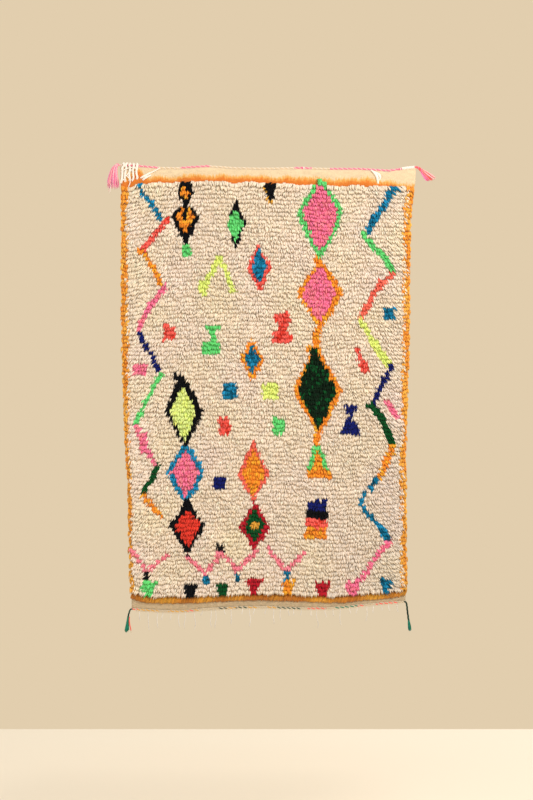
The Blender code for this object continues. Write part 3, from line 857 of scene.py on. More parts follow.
def weaveFinish(name, look):
    # Rows of knots with plain wefts between them, following the piece's own map: one unit across is one
    # knot, and one unit down is one row
    finish, tree, shader = startFinish(name, look)
    yarn = attribute(tree, "yarn")["Color"]
    knotted = attribute(tree, "knotted")["Fac"]
    parts = addNode(tree, "SeparateXYZ")
    feed(tree, parts.inputs["Vector"], addNode(tree, "UVMap", uv_map="weave").outputs["UV"])
    across, down = parts.outputs["X"], parts.outputs["Y"]
    inRow = calc(tree, "ABSOLUTE", ripple(tree, down, math.pi))
    inKnot = calc(tree, "ABSOLUTE", ripple(tree, across, math.pi))
    weft = ripple(tree, down, 2 * math.pi * look["weftsInRow"])
    warp = ripple(tree, across, 2 * math.pi * look["warpsInKnot"])
    weave = product(tree, weft, warp)
    knots = product(tree, rescale(tree, product(tree, inRow, inKnot), look["knotRim"], (0.0, 1.0)), knotted)
    fibres = fibreNoise(tree, look["fibre"])
    knottedPart = blend(tree, knots, (*look["weftDye"], 1), yarn)
    tone = rescale(tree, fibres, grain["range"], look["tone"])
    # painted shade: the colour darkens where wefts and warps dip in the weave
    weaveShade = rescale(tree, weave, (-1.0, 1.0), look["weaveShade"])
    colour = shade(tree, blend(tree, knotted, yarn, knottedPart), product(tree, tone, weaveShade))
    feed(tree, shader.inputs["Base Color"], colour)
    reliefs = ((knots, look["knotRelief"]), (weave, look["weaveRelief"]), (fibres, look["fibreRelief"]))
    height, *others = (product(tree, form, relief) for form, relief in reliefs)
    for other in others:
        height = calc(tree, "ADD", height, other)
    raiseSurface(tree, shader, height, look)
    return finish


def placeGround(mesh, rows):
    # Lays the points of a square grid, 2 wide, as the rug's cloth, and maps them in knots and rows
    start = readValues(mesh.vertices, "co", 3)
    column = np.clip((start[:, 0] + 1) / 2, 0, 1)
    row = np.round((1 - start[:, 1]) / 2 * rows)
    edgingEnd = pile["rows"] + ground["edgingRows"]
    x, drop = placeOn("pileEnd", "clothEnd", (row - edgingEnd) / ground["clothRows"], column)
    depth = np.where(row <= edgingEnd, ground["front"], ground["clothFront"])
    for above, below, first, last in (
        ("edging", "pileEnd", pile["rows"], edgingEnd),
        ("seam", "edging", 0, pile["rows"]),
    ):
        bandX, bandDrop = placeOn(above, below, (row - first) / (last - first), column)
        x, drop = np.where(row <= last, bandX, x), np.where(row <= last, bandDrop, drop)
    writeValues(mesh.vertices, "co", np.stack((x, -depth, -drop), axis=1) * mm)
    chart = mesh.uv_layers.new(name="weave")
    corner = readValues(mesh.loops, "vertex_index", kind=np.int32)
    writeValues(chart.data, "uv", np.stack((column * ground["columns"], row), axis=1)[corner])
    while len(mesh.uv_layers) > 1:
        mesh.uv_layers.remove(mesh.uv_layers[0])


def raiseFeet(mesh):
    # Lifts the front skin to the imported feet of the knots, which show a little between the locks
    points = readValues(mesh.vertices, "co", 3) / mm
    x, depth, drop = points[:, 0], -points[:, 1], -points[:, 2]
    left, right = edgesAt(drop)
    inward = np.minimum(x - left, right - x)
    inward = np.minimum(inward, np.minimum(drop - dropOf("seam", x), dropOf("edging", x) - drop))
    lift = np.clip(inward / ground["feetRim"], 0, 1) ** ground["feetRound"]
    feet = ground["front"] + (ground["pileFeet"] - ground["front"]) * lift
    points[:, 1] = -np.where(depth > ground["skinBetween"], np.maximum(feet, depth), depth)
    writeValues(mesh.vertices, "co", points * mm)
    mesh.update()


def dyeGround(mesh):
    # The back shows each knot's yarn, and the cloth end and the edging have dyes of their own
    centres = readValues(mesh.polygons, "center", 3) / mm
    x, drop = centres[:, 0], -centres[:, 2]
    left, right = edgesAt(drop)
    isEnd = drop >= dropOf("pileEnd", x)
    isPile = drop < dropOf("edging", x)
    isBorder = np.minimum(x - left, right - x) < ground["borderWidth"]
    colours = dyeCard[yarnAt(x, drop + pile["seen"] - ground["seenHigher"])]
    colours[isBorder] = ground["borderDye"]
    colours[~isPile] = ground["edgingDye"]
    colours[isEnd] = ground["clothDye"]
    colours = varied(colours, 61, ground["dyeVariety"])
    sides = readValues(mesh.polygons, "loop_total", kind=np.int32)
    addColours(mesh, np.repeat(colours, sides, axis=0), "CORNER")
    addValues(mesh, "knotted", isPile & (centres[:, 1] > -ground["faceBetween"]), "FACE")


def makeGround():
    rows = pile["rows"] + ground["edgingRows"] + ground["clothRows"]
    clearSelection()
    bpy.ops.mesh.primitive_grid_add(x_subdivisions=ground["columns"], y_subdivisions=rows, size=2)
    cloth = bpy.context.object
    cloth.name = cloth.data.name = "groundWeave"
    placeGround(cloth.data, rows)
    pickUp(cloth)
    body = cloth.modifiers.new("body", "SOLIDIFY")
    body.thickness = ground["thickness"] * mm
    body.offset = -1
    bpy.ops.object.modifier_apply(modifier="body")
    raiseFeet(cloth.data)
    dyeGround(cloth.data)
    cloth.data.shade_smooth()
    cloth.data.materials.clear()
    cloth.data.materials.append(weaveFinish("knottedWeave", ground["look"]))
    return cloth


groundWeave = makeGround()
print("Ground woven:", len(groundWeave.data.polygons))

# The folded heading along the top

heading = {
    "cuts": (14, 14),
    "section": [  # share of the height from top to seam, and depth off the wall, round the fold
        (1.22, 8.2), (1.1, 9.0), (0.98, 9.4), (0.85, 9.7), (0.72, 9.9), (0.58, 9.9), (0.45, 9.9), (0.32, 9.8),
        (0.2, 9.5), (0.1, 8.9), (0.03, 7.8), (0.0, 6.2), (0.0, 4.6), (0.03, 3.0), (0.09, 1.6), (0.2, 0.6),
        (0.5, 0.3), (0.8, 0.3), (1.1, 0.4), (1.22, 2.2),
    ],
    "middle": 5.0,  # the depth between the fold's front and its back
    "nearest": 0.3,  # to the wall
    "endPinch": 0.25,
    "pinchReach": 220,
    "bulge": (0.7, 55, 71),  # amount, size and seed
    "bulgeFrom": 3,
    "topWaver": (0.8, 35, 72),
    "topPart": 0.3,
    "lashed": (395, 10, 2.9),  # from where to the left, over how far and how much the lashing holds it off
    "creases": [  # x and drop of both ends, half width and depth of each fold that shows
        (-366, 0, -340, -3, 5, 1.8), (116, 15, 188, 26, 7, 2.6), (250, 10, 300, 26, 6, 1.2),
        (-120, 8, -60, 22, 8, 1.2), (330, 20, 345, 44, 5, 1.6), (-420, 14, -395, 40, 5, 1.2),
    ],
    "dyeEdge": 0.46,  # orange dye bled up from the first row of knots, higher in some places
    "dyeWavers": [(0.08, 60, 73), (0.05, 14, 74)],
    "dyeFalls": [(0.14, 330, 70), (0.2, 420, 50)],  # how far down it goes, from which x and over how far
    "dyeClimb": (0.6, -432, 20),
    "dyeSoft": 0.26,
    "undyed": -1.5,
    "look": {
        "roughness": 0.92, "shine": 0.15, "sheen": 0.25, "fibre": (500, 900, 900),
        "tone": (0.86, 1.06), "bump": 0.55, "bumpDepth": 0.0008,
        "streaks": (330, 330, 75), "feather": 2.4,
        "dyes": [((-0.1, 0.75), dye(234, 174, 90)), ((0.5, 1.6), dye(220, 122, 44))],
        "ribs": {"Scale": 0.16, "Distortion": 2.5, "Detail": 2.0, "Detail Scale": 1.5},
        "ribWidth": (0.0, 0.6), "grooveShade": (0.86, 1.0), "cloud": (60, 60, 120), "patch": (0.93, 1.04),
        "fibreRelief": 0.6,
    },
}


def headingFinish(name, look):
    # Flat weave in fine steep ribs with painted shade in their grooves, dyed by hand along its lower edge
    finish, tree, shader = startFinish(name, look)
    streaks = calc(tree, "SUBTRACT", fibreNoise(tree, look["streaks"]), 0.5)
    wet = calc(tree, "ADD", attribute(tree, "dyeing")["Fac"], product(tree, streaks, look["feather"]))
    colour = attribute(tree, "yarn")["Color"]
    for limits, tint in look["dyes"]:
        colour = blend(tree, rescale(tree, wet, limits, (0.0, 1.0)), colour, (*tint, 1))
    ribs = addNode(tree, "TexWave", wave_type="BANDS", bands_direction="DIAGONAL")
    feed(tree, ribs.inputs["Vector"], addNode(tree, "UVMap", uv_map="heading").outputs["UV"])
    for socket, value in look["ribs"].items():
        ribs.inputs[socket].default_value = value
    fibres = fibreNoise(tree, look["fibre"])
    tone = rescale(tree, fibres, grain["range"], look["tone"])
    # painted shade: the colour darkens in the grooves between the ribs
    grooveShade = rescale(tree, ribs.outputs["Fac"], look["ribWidth"], look["grooveShade"])
    clouds = fibreNoise(tree, look["cloud"], grain["broadDetail"])
    patch = rescale(tree, clouds, grain["range"], look["patch"])
    feed(tree, shader.inputs["Base Color"], shade(tree, colour, product(tree, tone, grooveShade, patch)))
    height = calc(tree, "ADD", ribs.outputs["Fac"], product(tree, fibres, look["fibreRelief"]))
    raiseSurface(tree, shader, height, look)
    return finish


def headingDye(x, share, isFront):
    # How deep in the dye each place is: 0 at the wet edge, and more below it
    edge = heading["dyeEdge"]
    for waver in heading["dyeWavers"]:
        edge = edge + drift(x, 0 * x, *waver)
    for fall, start, over in heading["dyeFalls"]:
        edge = edge + fall * grows(x, start, over)
    climb, middle, width = heading["dyeClimb"]
    edge = edge - climb * np.exp(-((x - middle) / width) ** 2)
    return np.where(isFront, (share - edge) / heading["dyeSoft"], heading["undyed"])


def makeHeading():
    count = len(heading["section"])
    shape = strand(count, *heading["cuts"])
    local = shape["points"]
    angle = np.arctan2(local[:, 1], local[:, 0]) % (2 * math.pi)
    share, depth = np.array(heading["section"])[np.round(angle / (2 * math.pi) * count).astype(int) % count].T
    column = local[:, 2]
    pinch = 1 - heading["endPinch"] * np.exp(-np.minimum(column, 1 - column) * heading["pinchReach"])
    x, drop = placeOn("top", "seam", share, column)
    isFront = depth > heading["middle"]
    depth = heading["middle"] + (depth - heading["middle"]) * pinch
    bulge = drift(x, drop * 2, *heading["bulge"])
    depth = depth + isFront * bulge * np.clip(share * heading["bulgeFrom"], 0, 1)
    for *ends, width, deep in heading["creases"]:
        depth = depth - isFront * deep * np.exp(-(awayFrom(x, drop, *ends) / width) ** 2)
    lashedFrom, lashedOver, heldOff = heading["lashed"]
    depth = np.maximum(depth, heading["nearest"] + heldOff * grows(-x, lashedFrom, lashedOver))
    drop = drop + drift(x, 0 * x, *heading["topWaver"]) * (share < heading["topPart"])
    bundle = {
        "points": np.stack((x, -depth, -drop), axis=1),
        "corners": shape["corners"],
        "sizes": shape["sizes"],
        "along": share,
        "dyeing": headingDye(x, share, isFront),
    }
    finish = headingFinish("headingWeave", heading["look"])
    piece = makePiece("headingBand", oneDye(bundle, yarnDyes["hemCream"]), finish)
    chart = piece.data.uv_layers.new(name="heading")
    writeValues(chart.data, "uv", np.stack((x, drop + depth), axis=1)[shape["corners"]])
    pickUp(piece)
    bpy.ops.object.mode_set(mode="EDIT")
    bpy.ops.mesh.select_all(action="SELECT")
    bpy.ops.mesh.normals_make_consistent(inside=False)
    bpy.ops.object.mode_set(mode="OBJECT")
    return piece


headingBand = makeHeading()
print("Heading folded:", len(headingBand.data.polygons))

# The rope-like edging where the pile ends

edging = {
    "loops": 250,
    "cuts": 8,
    "slant": 8.5,
    "width": 2.6,
    "depth": 11.2,
    "depthWander": (0.6, 40, 82),  # amount, size and seed
    "uneven": {"slant": 1.1, "depth": 0.9, "reach": 1.1, "width": 0.08, "dye": 0.1},
    "profile": [  # one loop from top to foot: parts of the slant, height and depth, then its width
        (0.5, -0.1, 0.36, 0.6), (0.42, 0.06, 0.8, 0.95), (0.25, 0.3, 0.98, 1.05), (0, 0.55, 1.0, 1.1),
        (-0.25, 0.8, 0.95, 1.05), (-0.42, 0.98, 0.72, 0.9), (-0.5, 1.0, 0.35, 0.6),
    ],
    "dyes": ("rust", "wheat"),
    "dyePatches": (0.7, 90, 83),
}


def makeEdging():
    count = edging["loops"]
    uneven = edging["uneven"]
    pick = np.random.RandomState(81)
    x, top = placeOn("edging", "pileEnd", np.zeros(count), (np.arange(count) + 0.5) / count)
    lean = edging["slant"] + pick.normal(0, uneven["slant"], count)
    stand = edging["depth"] + pick.normal(0, uneven["depth"], count) + drift(x, top, *edging["depthWander"])
    reach = dropOf("pileEnd", x) - top + pick.normal(0, uneven["reach"], count)
    stops = []
    for slantPart, share, out, _ in edging["profile"]:
        stops.append(np.stack((x + slantPart * lean, -stand * out, -(top + reach * share)), axis=1))
    widths = edging["width"] * np.array(edging["profile"])[:, 3]
    widths = widths * (1 + pick.normal(0, uneven["width"], (count, 1)))
    bundle = layAlong(strand(plySides, edging["cuts"]), np.stack(stops, axis=1), widths)
    mixed = np.clip(0.5 + drift(x, top, *edging["dyePatches"]), 0, 1)[:, None]
    first, last = (yarnDyes[yarn] for yarn in edging["dyes"])
    bundle["colours"] = varied(first * (1 - mixed) + last * mixed, 84, uneven["dye"])[bundle["copy"]]
    return makePiece("edgingRope", bundle, pliedWool)


edgingRope = makeEdging()
print("Edging sewn:", len(edgingRope.data.polygons))

# Twisted cords, lashing and stitches

ropeLift = (0.13, 0.95, 0.28)  # a direction that no cord runs in


def helixPaths(centres, turns, offset, ply, plies, flat=1.0, across=(0.0, 1.0, 0.0)):
    # The path of one ply as it winds round a centre line of points
    count = len(centres)
    slope = np.gradient(centres, axis=0)
    slope /= np.linalg.norm(slope, axis=1, keepdims=True)
    side = np.cross(slope, across)
    side /= np.linalg.norm(side, axis=1, keepdims=True)
    other = np.cross(slope, side)
    angle = 2 * math.pi * (turns * np.linspace(0, 1, count) + ply / plies)
    offset = np.broadcast_to(offset, (count,))[:, None]
    return centres + side * np.cos(angle)[:, None] * offset + other * np.sin(angle)[:, None] * offset * flat


def layPly(shape, path, width, lift):
    return layAlong(shape, path[None], np.broadcast_to(width, (1, len(path))), lift=lift)


def plyRope(centres, turns, offset, width, colourings, cuts, flat=1.0):
    # Several plies twisted together; each colouring gives a ply's colours at shares of its length
    bundles = []
    for number, colouring in enumerate(colourings):
        path = helixPaths(centres, turns, offset, number, len(colourings), flat)
        bundle = layPly(strand(plySides, *cuts), path, width, ropeLift)
        bundle["colours"] = colouring(bundle["along"])
        bundles.append(bundle)
    return gather(bundles)


def stretches(plain, bands=()):
    # Colours along a ply: a plain one, and bands as (start, end, yarn)
    def colouring(share):
        colours = np.tile(yarnDyes[plain], (len(share), 1))
        for start, end, yarn in bands:
            colours[(share >= start) & (share < end)] = yarnDyes[yarn]
        return colours
    return colouring


def smoothPath(points, count):
    # A curve through the points, by four-point interpolation
    points = np.array(points, float)
    padded = np.vstack((2 * points[0] - points[1], points, 2 * points[-1] - points[-2]))
    made = []
    for at in np.linspace(0, len(points) - 1, count):
        low = min(int(at), len(points) - 2)
        part = at - low
        a, b, c, d = padded[low:low + 4]
        bend = (2 * a - 5 * b + 4 * c - d) * part ** 2
        made.append(0.5 * (2 * b + (c - a) * part + bend + (3 * b - a - 3 * c + d) * part ** 3))
    return np.array(made)


def alongOf(values, count):
    # Values given at even shares of a length, read at a number of stops
    return np.interp(np.linspace(0, 1, count), np.linspace(0, 1, len(values)), values)


def underTop(x, down, depth, line="top"):
    # A place given by its distance below one of the rug's crossing lines
    return x, -depth, -down - float(dropOf(line, x))


topCord = {
    "left": -488, "right": 486, "depth": 5.5, "rise": 3.9,
    "turns": 62, "offset": 1.55, "ply": 1.75, "stops": 744, "cuts": (30, 23),
    "dyes": [("cream", "pink"), ("hemCream", "blush")],  # of each ply, plain and where it is pink
    "pinkStretches": [(-470, -437), (-429, -363), (-290, -191), (86, 145), (205, 500)],
    "knots": [  # x, turns, half length, thickness and dyes of yarn wound over the cord
        (115, 3, 4.2, 1.0, "pink", "white"), (118, 2, 3.0, 1.0, "pink", "white"),
        (436, 3, 3.4, 1.0, "pink", "white"), (464, 9, 20.0, 2.6, "white", "white"),
    ],
    "knotOffset": 3.0,
    "stopsInTurn": 13,
}
footCord = {
    "left": -449, "right": 450, "depth": 3.6, "rise": -3.9,
    "turns": 56, "offset": 1.55, "ply": 1.75, "stops": 672, "cuts": (28, 22),
    "bandLength": (0.015, 0.045),  # as shares of the cord
    "dyes": ["coral", "gold", "coral", "dullWarp", "gold", "coral", "dullWarp", "jade"],
    "greenPart": (0.3, 0.62),
    "greenDyes": ["forest", "bottle", "gold", "bottle", "dullWarp", "coral", "forest"],
}


def cordCentres(cord, line):
    x = np.linspace(cord["left"], cord["right"], cord["stops"])
    return np.stack((x, np.full(len(x), -cord["depth"]), cord["rise"] - dropOf(line, x)), axis=1)


def plyCord(cord, centres, colourings):
    return plyRope(centres, cord["turns"], cord["offset"], cord["ply"], colourings, cord["cuts"])


def makeTopCord():
    centres = cordCentres(topCord, "top")
    left, length = topCord["left"], topCord["right"] - topCord["left"]
    shares = [((start - left) / length, (end - left) / length) for start, end in topCord["pinkStretches"]]
    colourings = [stretches(plain, [(*share, pink) for share in shares]) for plain, pink in topCord["dyes"]]
    bundles = [plyCord(topCord, centres, colourings)]
    for x, turns, half, thick, firstDye, lastDye in topCord["knots"]:
        places = np.linspace(x - half, x + half, topCord["stopsInTurn"] * turns + 1)
        height = np.interp(places, centres[:, 0], centres[:, 2])
        core = np.stack((places, np.full(len(places), -topCord["depth"]), height), axis=1)
        path = helixPaths(core, turns, topCord["knotOffset"], 0, 1)
        knot = layPly(strand(plySides, turns - 1, topCord["stopsInTurn"] - 1), path, thick, ropeLift)
        knot["colours"] = stretches(firstDye, [(0.5, 1.1, lastDye)])(knot["along"])
        bundles.append(knot)
    return makePiece("topCord", gather(bundles), pliedWool)


def makeFootCord():
    pick = np.random.RandomState(91)
    greenStart, greenEnd = footCord["greenPart"]
    bands = []
    start = 0.0
    while start < 1:
        end = start + pick.uniform(*footCord["bandLength"])
        choice = footCord["greenDyes"] if greenStart < start < greenEnd else footCord["dyes"]
        bands.append((start, end, choice[pick.randint(len(choice))]))
        start = end
    colourings = [stretches("coral", bands), stretches("dullWarp")]
    rope = plyCord(footCord, cordCentres(footCord, "clothEnd"), colourings)
    return makePiece("footCord", rope, pliedWool)


topCordPiece = makeTopCord()
footCordPiece = makeFootCord()
print("Cords plied:", len(topCordPiece.data.polygons), len(footCordPiece.data.polygons))

lashing = {
    "left": -485, "right": -427, "wraps": 5, "slant": 0.2, "taper": 0.34, "foot": 60,
    "loop": [  # depth and rise of the yarn's middle as it goes from the back, over the cord, to the front;
        # a rise below 0 is a share of the way down to the wrap's foot
        (3.0, -1.0), (1.5, -0.92), (1.5, -0.5), (1.5, -0.1), (1.2, 1), (2.2, 7.5), (5.5, 10.6), (9.8, 8.2),
        (11.6, 3.5), (12.0, -0.1), (12.1, -0.3), (12.1, -0.6), (11.9, -0.88), (10.6, -0.99), (8.6, -1.03),
    ],
    "uneven": {"foot": (-6, 2), "slant": (-0.2, 0.2), "waver": 1.3, "dye": (0.93, 1.0)},
    "stops": 96, "cuts": 47, "plies": 3, "ply": 2.05, "offset": 1.9, "turns": 1.2,
    "flat": 0.45,  # the plies lie side by side, so each wrap is wide and flat
    "across": (0.0, 0.75, 0.66), "lift": (0.96, 0.2, 0.2),
    "strays": [  # x, distance below the heading's top and depth
        [(-434, 2, 11), (-440, 5, 14.8), (-452, 14, 15.6), (-466, 30, 15.6), (-478, 46, 15.2),
         (-484, 52, 12)],
        [(-486, 20, 11), (-480, 15, 14.8), (-466, 9, 15.8), (-450, 4, 15.6), (-438, 6, 14.6),
         (-430, 10, 9.5)],
        [(-470, 30, 13), (-462, 36, 15.6), (-455, 48, 15.4), (-457, 60, 14), (-461, 67, 13)],
        [(-442, 16, 13), (-446, 26, 15.4), (-444, 38, 15.0), (-449, 50, 12.5)],
    ],
    "stray": {"stops": 60, "turns": 5, "offset": 0.8, "ply": 0.95, "cuts": 44, "flat": 0.7},
}


def makeWrap(share, pick):
    # One wrap of yarn round the heading's corner, in three plies
    uneven = lashing["uneven"]
    x = lashing["left"] + (lashing["right"] - lashing["left"]) * share
    foot = lashing["foot"] * (1 - lashing["taper"] * share) + pick.uniform(*uneven["foot"])
    slant = lashing["slant"] + pick.uniform(*uneven["slant"])
    top = float(dropOf("top", x))
    points = []
    for depth, rise in lashing["loop"]:
        rise = rise if rise > 0 else rise * foot
        points.append((x + rise * slant + pick.normal(0, uneven["waver"]), -depth, rise - top))
    centres = smoothPath(points, lashing["stops"])
    plies = []
    for ply in range(lashing["plies"]):
        path = helixPaths(centres, lashing["turns"], lashing["offset"], ply, lashing["plies"],
                          lashing["flat"], lashing["across"])
        bundle = layPly(strand(plySides, lashing["cuts"]), path, lashing["ply"], lashing["lift"])
        plies.append(oneDye(bundle, yarnDyes["white"] * pick.uniform(*uneven["dye"])))
    return plies


def makeLashing():
    pick = np.random.RandomState(95)
    bundles = []
    for number in range(lashing["wraps"]):
        bundles.extend(makeWrap((number + 0.5) / lashing["wraps"], pick))
    # loose yarns that cross the wraps
    stray = lashing["stray"]
    for yarn in lashing["strays"]:
        centres = smoothPath([underTop(*point) for point in yarn], stray["stops"])
        bundles.append(plyRope(centres, stray["turns"], stray["offset"], stray["ply"],
                               [stretches("white")] * 2, (stray["cuts"],), stray["flat"]))
    return makePiece("cornerLashing", gather(bundles), pliedWool)


stitches = {
    "yarns": {
        "stitchLeft": [  # x, distance below the heading's top and thickness, for each yarn
            [(-358, -1, 0.6), (-363, 2, 0.7), (-378, 11, 0.8), (-396, 21, 1.3), (-412, 31, 1.5),
             (-421, 36, 1.2)],
            [(-387, 24, 0.8), (-392, 27, 1.2), (-404, 34, 1.5), (-414, 42, 1.2)],
        ],
        "stitchRight": [
            [(341, -1, 0.8), (345, 2, 1.1), (353, 9, 1.7), (360, 19, 1.9), (362, 30, 1.5), (364, 42, 1.1)],
            [(349, 3, 0.8), (358, 8, 1.5), (368, 14, 1.7), (370, 24, 1.2), (367, 31, 0.9)],
        ],
    },
    "depth": 12.3, "endDepth": 9.4, "plies": 3, "ply": 1.45, "offset": 1.35, "turns": 4.5, "flat": 0.7,
    "stops": 60, "cuts": 44,
}


def makeStitch(name):
    bundles = []
    for yarn in stitches["yarns"][name]:
        points = [underTop(x, down, stitches["depth"]) for x, down, _ in yarn]
        for end in (0, -1):  # the yarn goes into the cloth at both ends
            points[end] = underTop(*yarn[end][:2], stitches["endDepth"])
        centres = smoothPath(points, stitches["stops"])
        thick = alongOf([stop[2] for stop in yarn], stitches["stops"])
        offset, width = stitches["offset"] * thick, stitches["ply"] * thick
        plies = [stretches("white")] * stitches["plies"]
        bundles.append(plyRope(centres, stitches["turns"], offset, width, plies, (stitches["cuts"],),
                               stitches["flat"]))
    return makePiece(name, gather(bundles), pliedWool)


cornerLashing = makeLashing()
stitchLeft, stitchRight = (makeStitch(name) for name in stitches["yarns"])
print("Lashing and stitches sewn:", len(cornerLashing.data.polygons))

# Tails and tufts at the four corners

tassels = {
    "tasselTopLeft": {
        "start": (-488.3, "top", 3.9, 5.5),
        "neck": [(0, 0), (-4, 0), (-8, 2), (-14, 0), (-19, -10), (-22, -26), (-23, -42)],
        "radii": (2.4, 2.8, 3.6, 4.2, 4.6, 5.2, 6.0),
        "lengths": (16, 36), "fan": 21, "droop": 2, "strands": 140, "from": 0.3, "open": 0.8, "round": 0.1,
        "trails": [(-0.5, 53, "white"), (-0.42, 47, "white"), (-0.65, 44, "blush")],  # side, length and yarn
        "neckDyes": ["blush", "pink", "rose"],
        "tuftDyes": ["orchid", "blush", "rose", "pink", "blush", "orchid"],
        "width": 1.25, "seed": 39,
    },
    "tasselTopRight": {
        "start": (486.3, "top", 3.9, 5.5),
        "neck": [(0, 0), (5, 0), (13, -4), (22, -12)],
        "radii": (2.4, 3.4, 4.6, 5.4),
        "lengths": (42, 54), "fan": 16, "droop": 0, "strands": 76, "from": 0.96, "open": 0.8, "round": 0.1,
        "trails": [],
        "neckDyes": ["coral", "coral", "pink"],
        "tuftDyes": ["orchid", "pink", "rose", "coral", "blush", "coral", "blush"],
        "bySide": (0.88, 0.18),  # its yarns lie side by side, and are longer to the right
        "width": 1.45, "seed": 42,
    },
    "tasselBottomLeft": {
        "start": (-449.3, "clothEnd", -3.9, 5.5),
        "neck": [(0, 0), (-4, 0), (-8, -6), (-13, -24), (-15.5, -42)],
        "radii": (2.2, 2.4, 2.6, 3.0, 3.4),
        "lengths": (29, 34), "fan": 8.0, "droop": 2, "strands": 64, "from": 0.75, "open": 1.5, "round": 0.3,
        "trails": [(1.95, 28, "coral"), (1.8, 27, "coral"), (2.05, 25, "coral"), (2.1, 33, "dullWarp")],
        "neckDyes": ["bottle", "forest", "bottle"],
        "tuftDyes": ["jade", "jade", "bottle", "jade"],
        "width": 1.2, "seed": 48,
    },
    "tasselBottomRight": {
        "start": (450.3, "clothEnd", -3.9, 5.5),
        "neck": [(0, 0), (4, 0), (8, -8), (11, -34), (15, -65)],
        "radii": (2.3, 2.7, 3.0, 3.1, 3.3),
        "lengths": (25, 31), "fan": 6.5, "droop": 2, "strands": 48, "from": 0.97, "open": 1.0, "round": 0.2,
        "trails": [],
        "neckDyes": ["forest", "forest", "bottle"],
        "tuftDyes": ["jade", "jade", "bottle", "sea"],
        "width": 1.05, "seed": 51,
    },
}
tasselYarn = {  # what the four have alike
    "neckStops": 72, "neckTurn": 26, "neckOffset": 0.5, "neckPly": 0.56, "neckSides": 8, "neckCuts": 44,
    "neckLift": (0.3, 0.9, 0.3), "endStops": 6,
    "runStops": 40, "stops": 8, "sides": 5, "cuts": 9,
    "rootWide": 0.8, "rootDeep": 0.75, "fanDeep": 5.0, "openDeep": 0.7, "sideReach": 0.999,
    "wave": 1.4, "sideWaves": 5, "wavePhase": 3, "deepWaves": 4,
    "widths": (1.0, 1.15, 1.15, 1.1, 1.05, 0.95, 0.75, 0.3), "trailWidth": 1.25, "dyeVariety": 0.12,
}


def makeNeck(spec, neck, radii):
    bundles = []
    turns = len(neck) / tasselYarn["neckTurn"]
    shape = strand(tasselYarn["neckSides"], tasselYarn["neckCuts"])
    for number, yarn in enumerate(spec["neckDyes"]):
        path = helixPaths(neck, turns, radii * tasselYarn["neckOffset"], number, len(spec["neckDyes"]))
        bundle = layPly(shape, path, radii * tasselYarn["neckPly"], tasselYarn["neckLift"])
        bundles.append(oneDye(bundle, yarnDyes[yarn]))
    return bundles


def pickStrand(spec, number, pick):
    # Where a strand lies in the tuft, its length, how it waves and its yarn
    angle, reach = pick.uniform(0, 2 * math.pi), math.sqrt(pick.uniform(0, 1))
    a, b = reach * math.cos(angle), reach * math.sin(angle)
    length = pick.uniform(*spec["lengths"]) * (1 - spec["round"] * a * a)
    wave = pick.uniform(-1, 1, 3) * tasselYarn["wave"]
    dyes = spec["tuftDyes"]
    yarn = dyes[pick.randint(len(dyes))]
    if "bySide" in spec:
        yarn = dyes[int((a + 1) / 2 * len(dyes) * tasselYarn["sideReach"])]
        least, more = spec["bySide"]
        length = length * (least + more * a)
    if number < len(spec["trails"]):
        a, length, yarn = spec["trails"][number]
    return a, b, length, wave, yarn


def layStrand(spec, tail, a, b, length, wave):
    # Each strand follows the neck from where it comes loose, then runs on and fans out
    neck, side, bound = tail["neck"], tail["side"], tail["radius"]
    run = tail["run"] * np.linspace(0, length, tasselYarn["runStops"])[:, None]
    line = np.concatenate((neck[:-1], neck[-1] + run))
    gone = np.concatenate(([0], np.cumsum(np.linalg.norm(np.diff(line, axis=0), axis=1))))
    stops = []
    for share in np.linspace(0, 1, tasselYarn["stops"]):
        point = np.array([np.interp(share * gone[-1], gone, line[:, axis]) for axis in range(3)])
        wide = bound * tasselYarn["rootWide"] * (1 - share) + spec["fan"] * share ** spec["open"]
        fanDeep = tasselYarn["fanDeep"] * share ** tasselYarn["openDeep"]
        deep = bound * tasselYarn["rootDeep"] * (1 - share) + fanDeep
        point = point + side * a * wide
        point = point + np.array((0, b * deep, 0))
        point = point + np.array((0, 0, -spec["droop"] * share ** 2))
        swing = math.sin(tasselYarn["sideWaves"] * share + wave[1] * tasselYarn["wavePhase"])
        point = point + side * wave[0] * swing * share
        nod = wave[2] * math.sin(tasselYarn["deepWaves"] * share) * share
        stops.append(point + np.array((0, nod, 0)))
    return stops


def makeTassel(name):
    spec = tassels[name]
    x, line, rise, depth = spec["start"]
    start = np.array(underTop(x, -rise, depth, line))
    neck = smoothPath([start + (a, 0, b) for a, b in spec["neck"]], tasselYarn["neckStops"])
    radii = alongOf(spec["radii"], tasselYarn["neckStops"])
    loose = int(spec["from"] * tasselYarn["neckStops"])
    run = neck[-1] - neck[-tasselYarn["endStops"]]
    run /= np.linalg.norm(run)
    side = np.cross(run, (0.0, 1.0, 0.0))
    tail = {"neck": neck[loose:], "radius": radii[loose], "run": run, "side": side}
    pick = np.random.RandomState(spec["seed"])
    paths, dyes = [], []
    for number in range(spec["strands"]):
        *place, yarn = pickStrand(spec, number, pick)
        paths.append(layStrand(spec, tail, *place))
        dyes.append(yarnDyes[yarn])
    widths = np.tile(spec["width"] * np.array(tasselYarn["widths"]), (len(paths), 1))
    widths[:len(spec["trails"])] *= tasselYarn["trailWidth"]
    shape = strand(tasselYarn["sides"], tasselYarn["cuts"])
    tuft = layAlong(shape, paths, widths, pick.uniform(0, 1, len(paths)), lift=tuple(side))
    tuft["colours"] = varied(np.array(dyes), 97, tasselYarn["dyeVariety"])[tuft["copy"]]
    return makePiece(name, gather([*makeNeck(spec, neck, radii), tuft]), tuftWool)


tasselPieces = {name: makeTassel(name) for name in tassels}
print("Tassels tied:", [len(piece.data.polygons) for piece in tasselPieces.values()])

# Loose warp ends

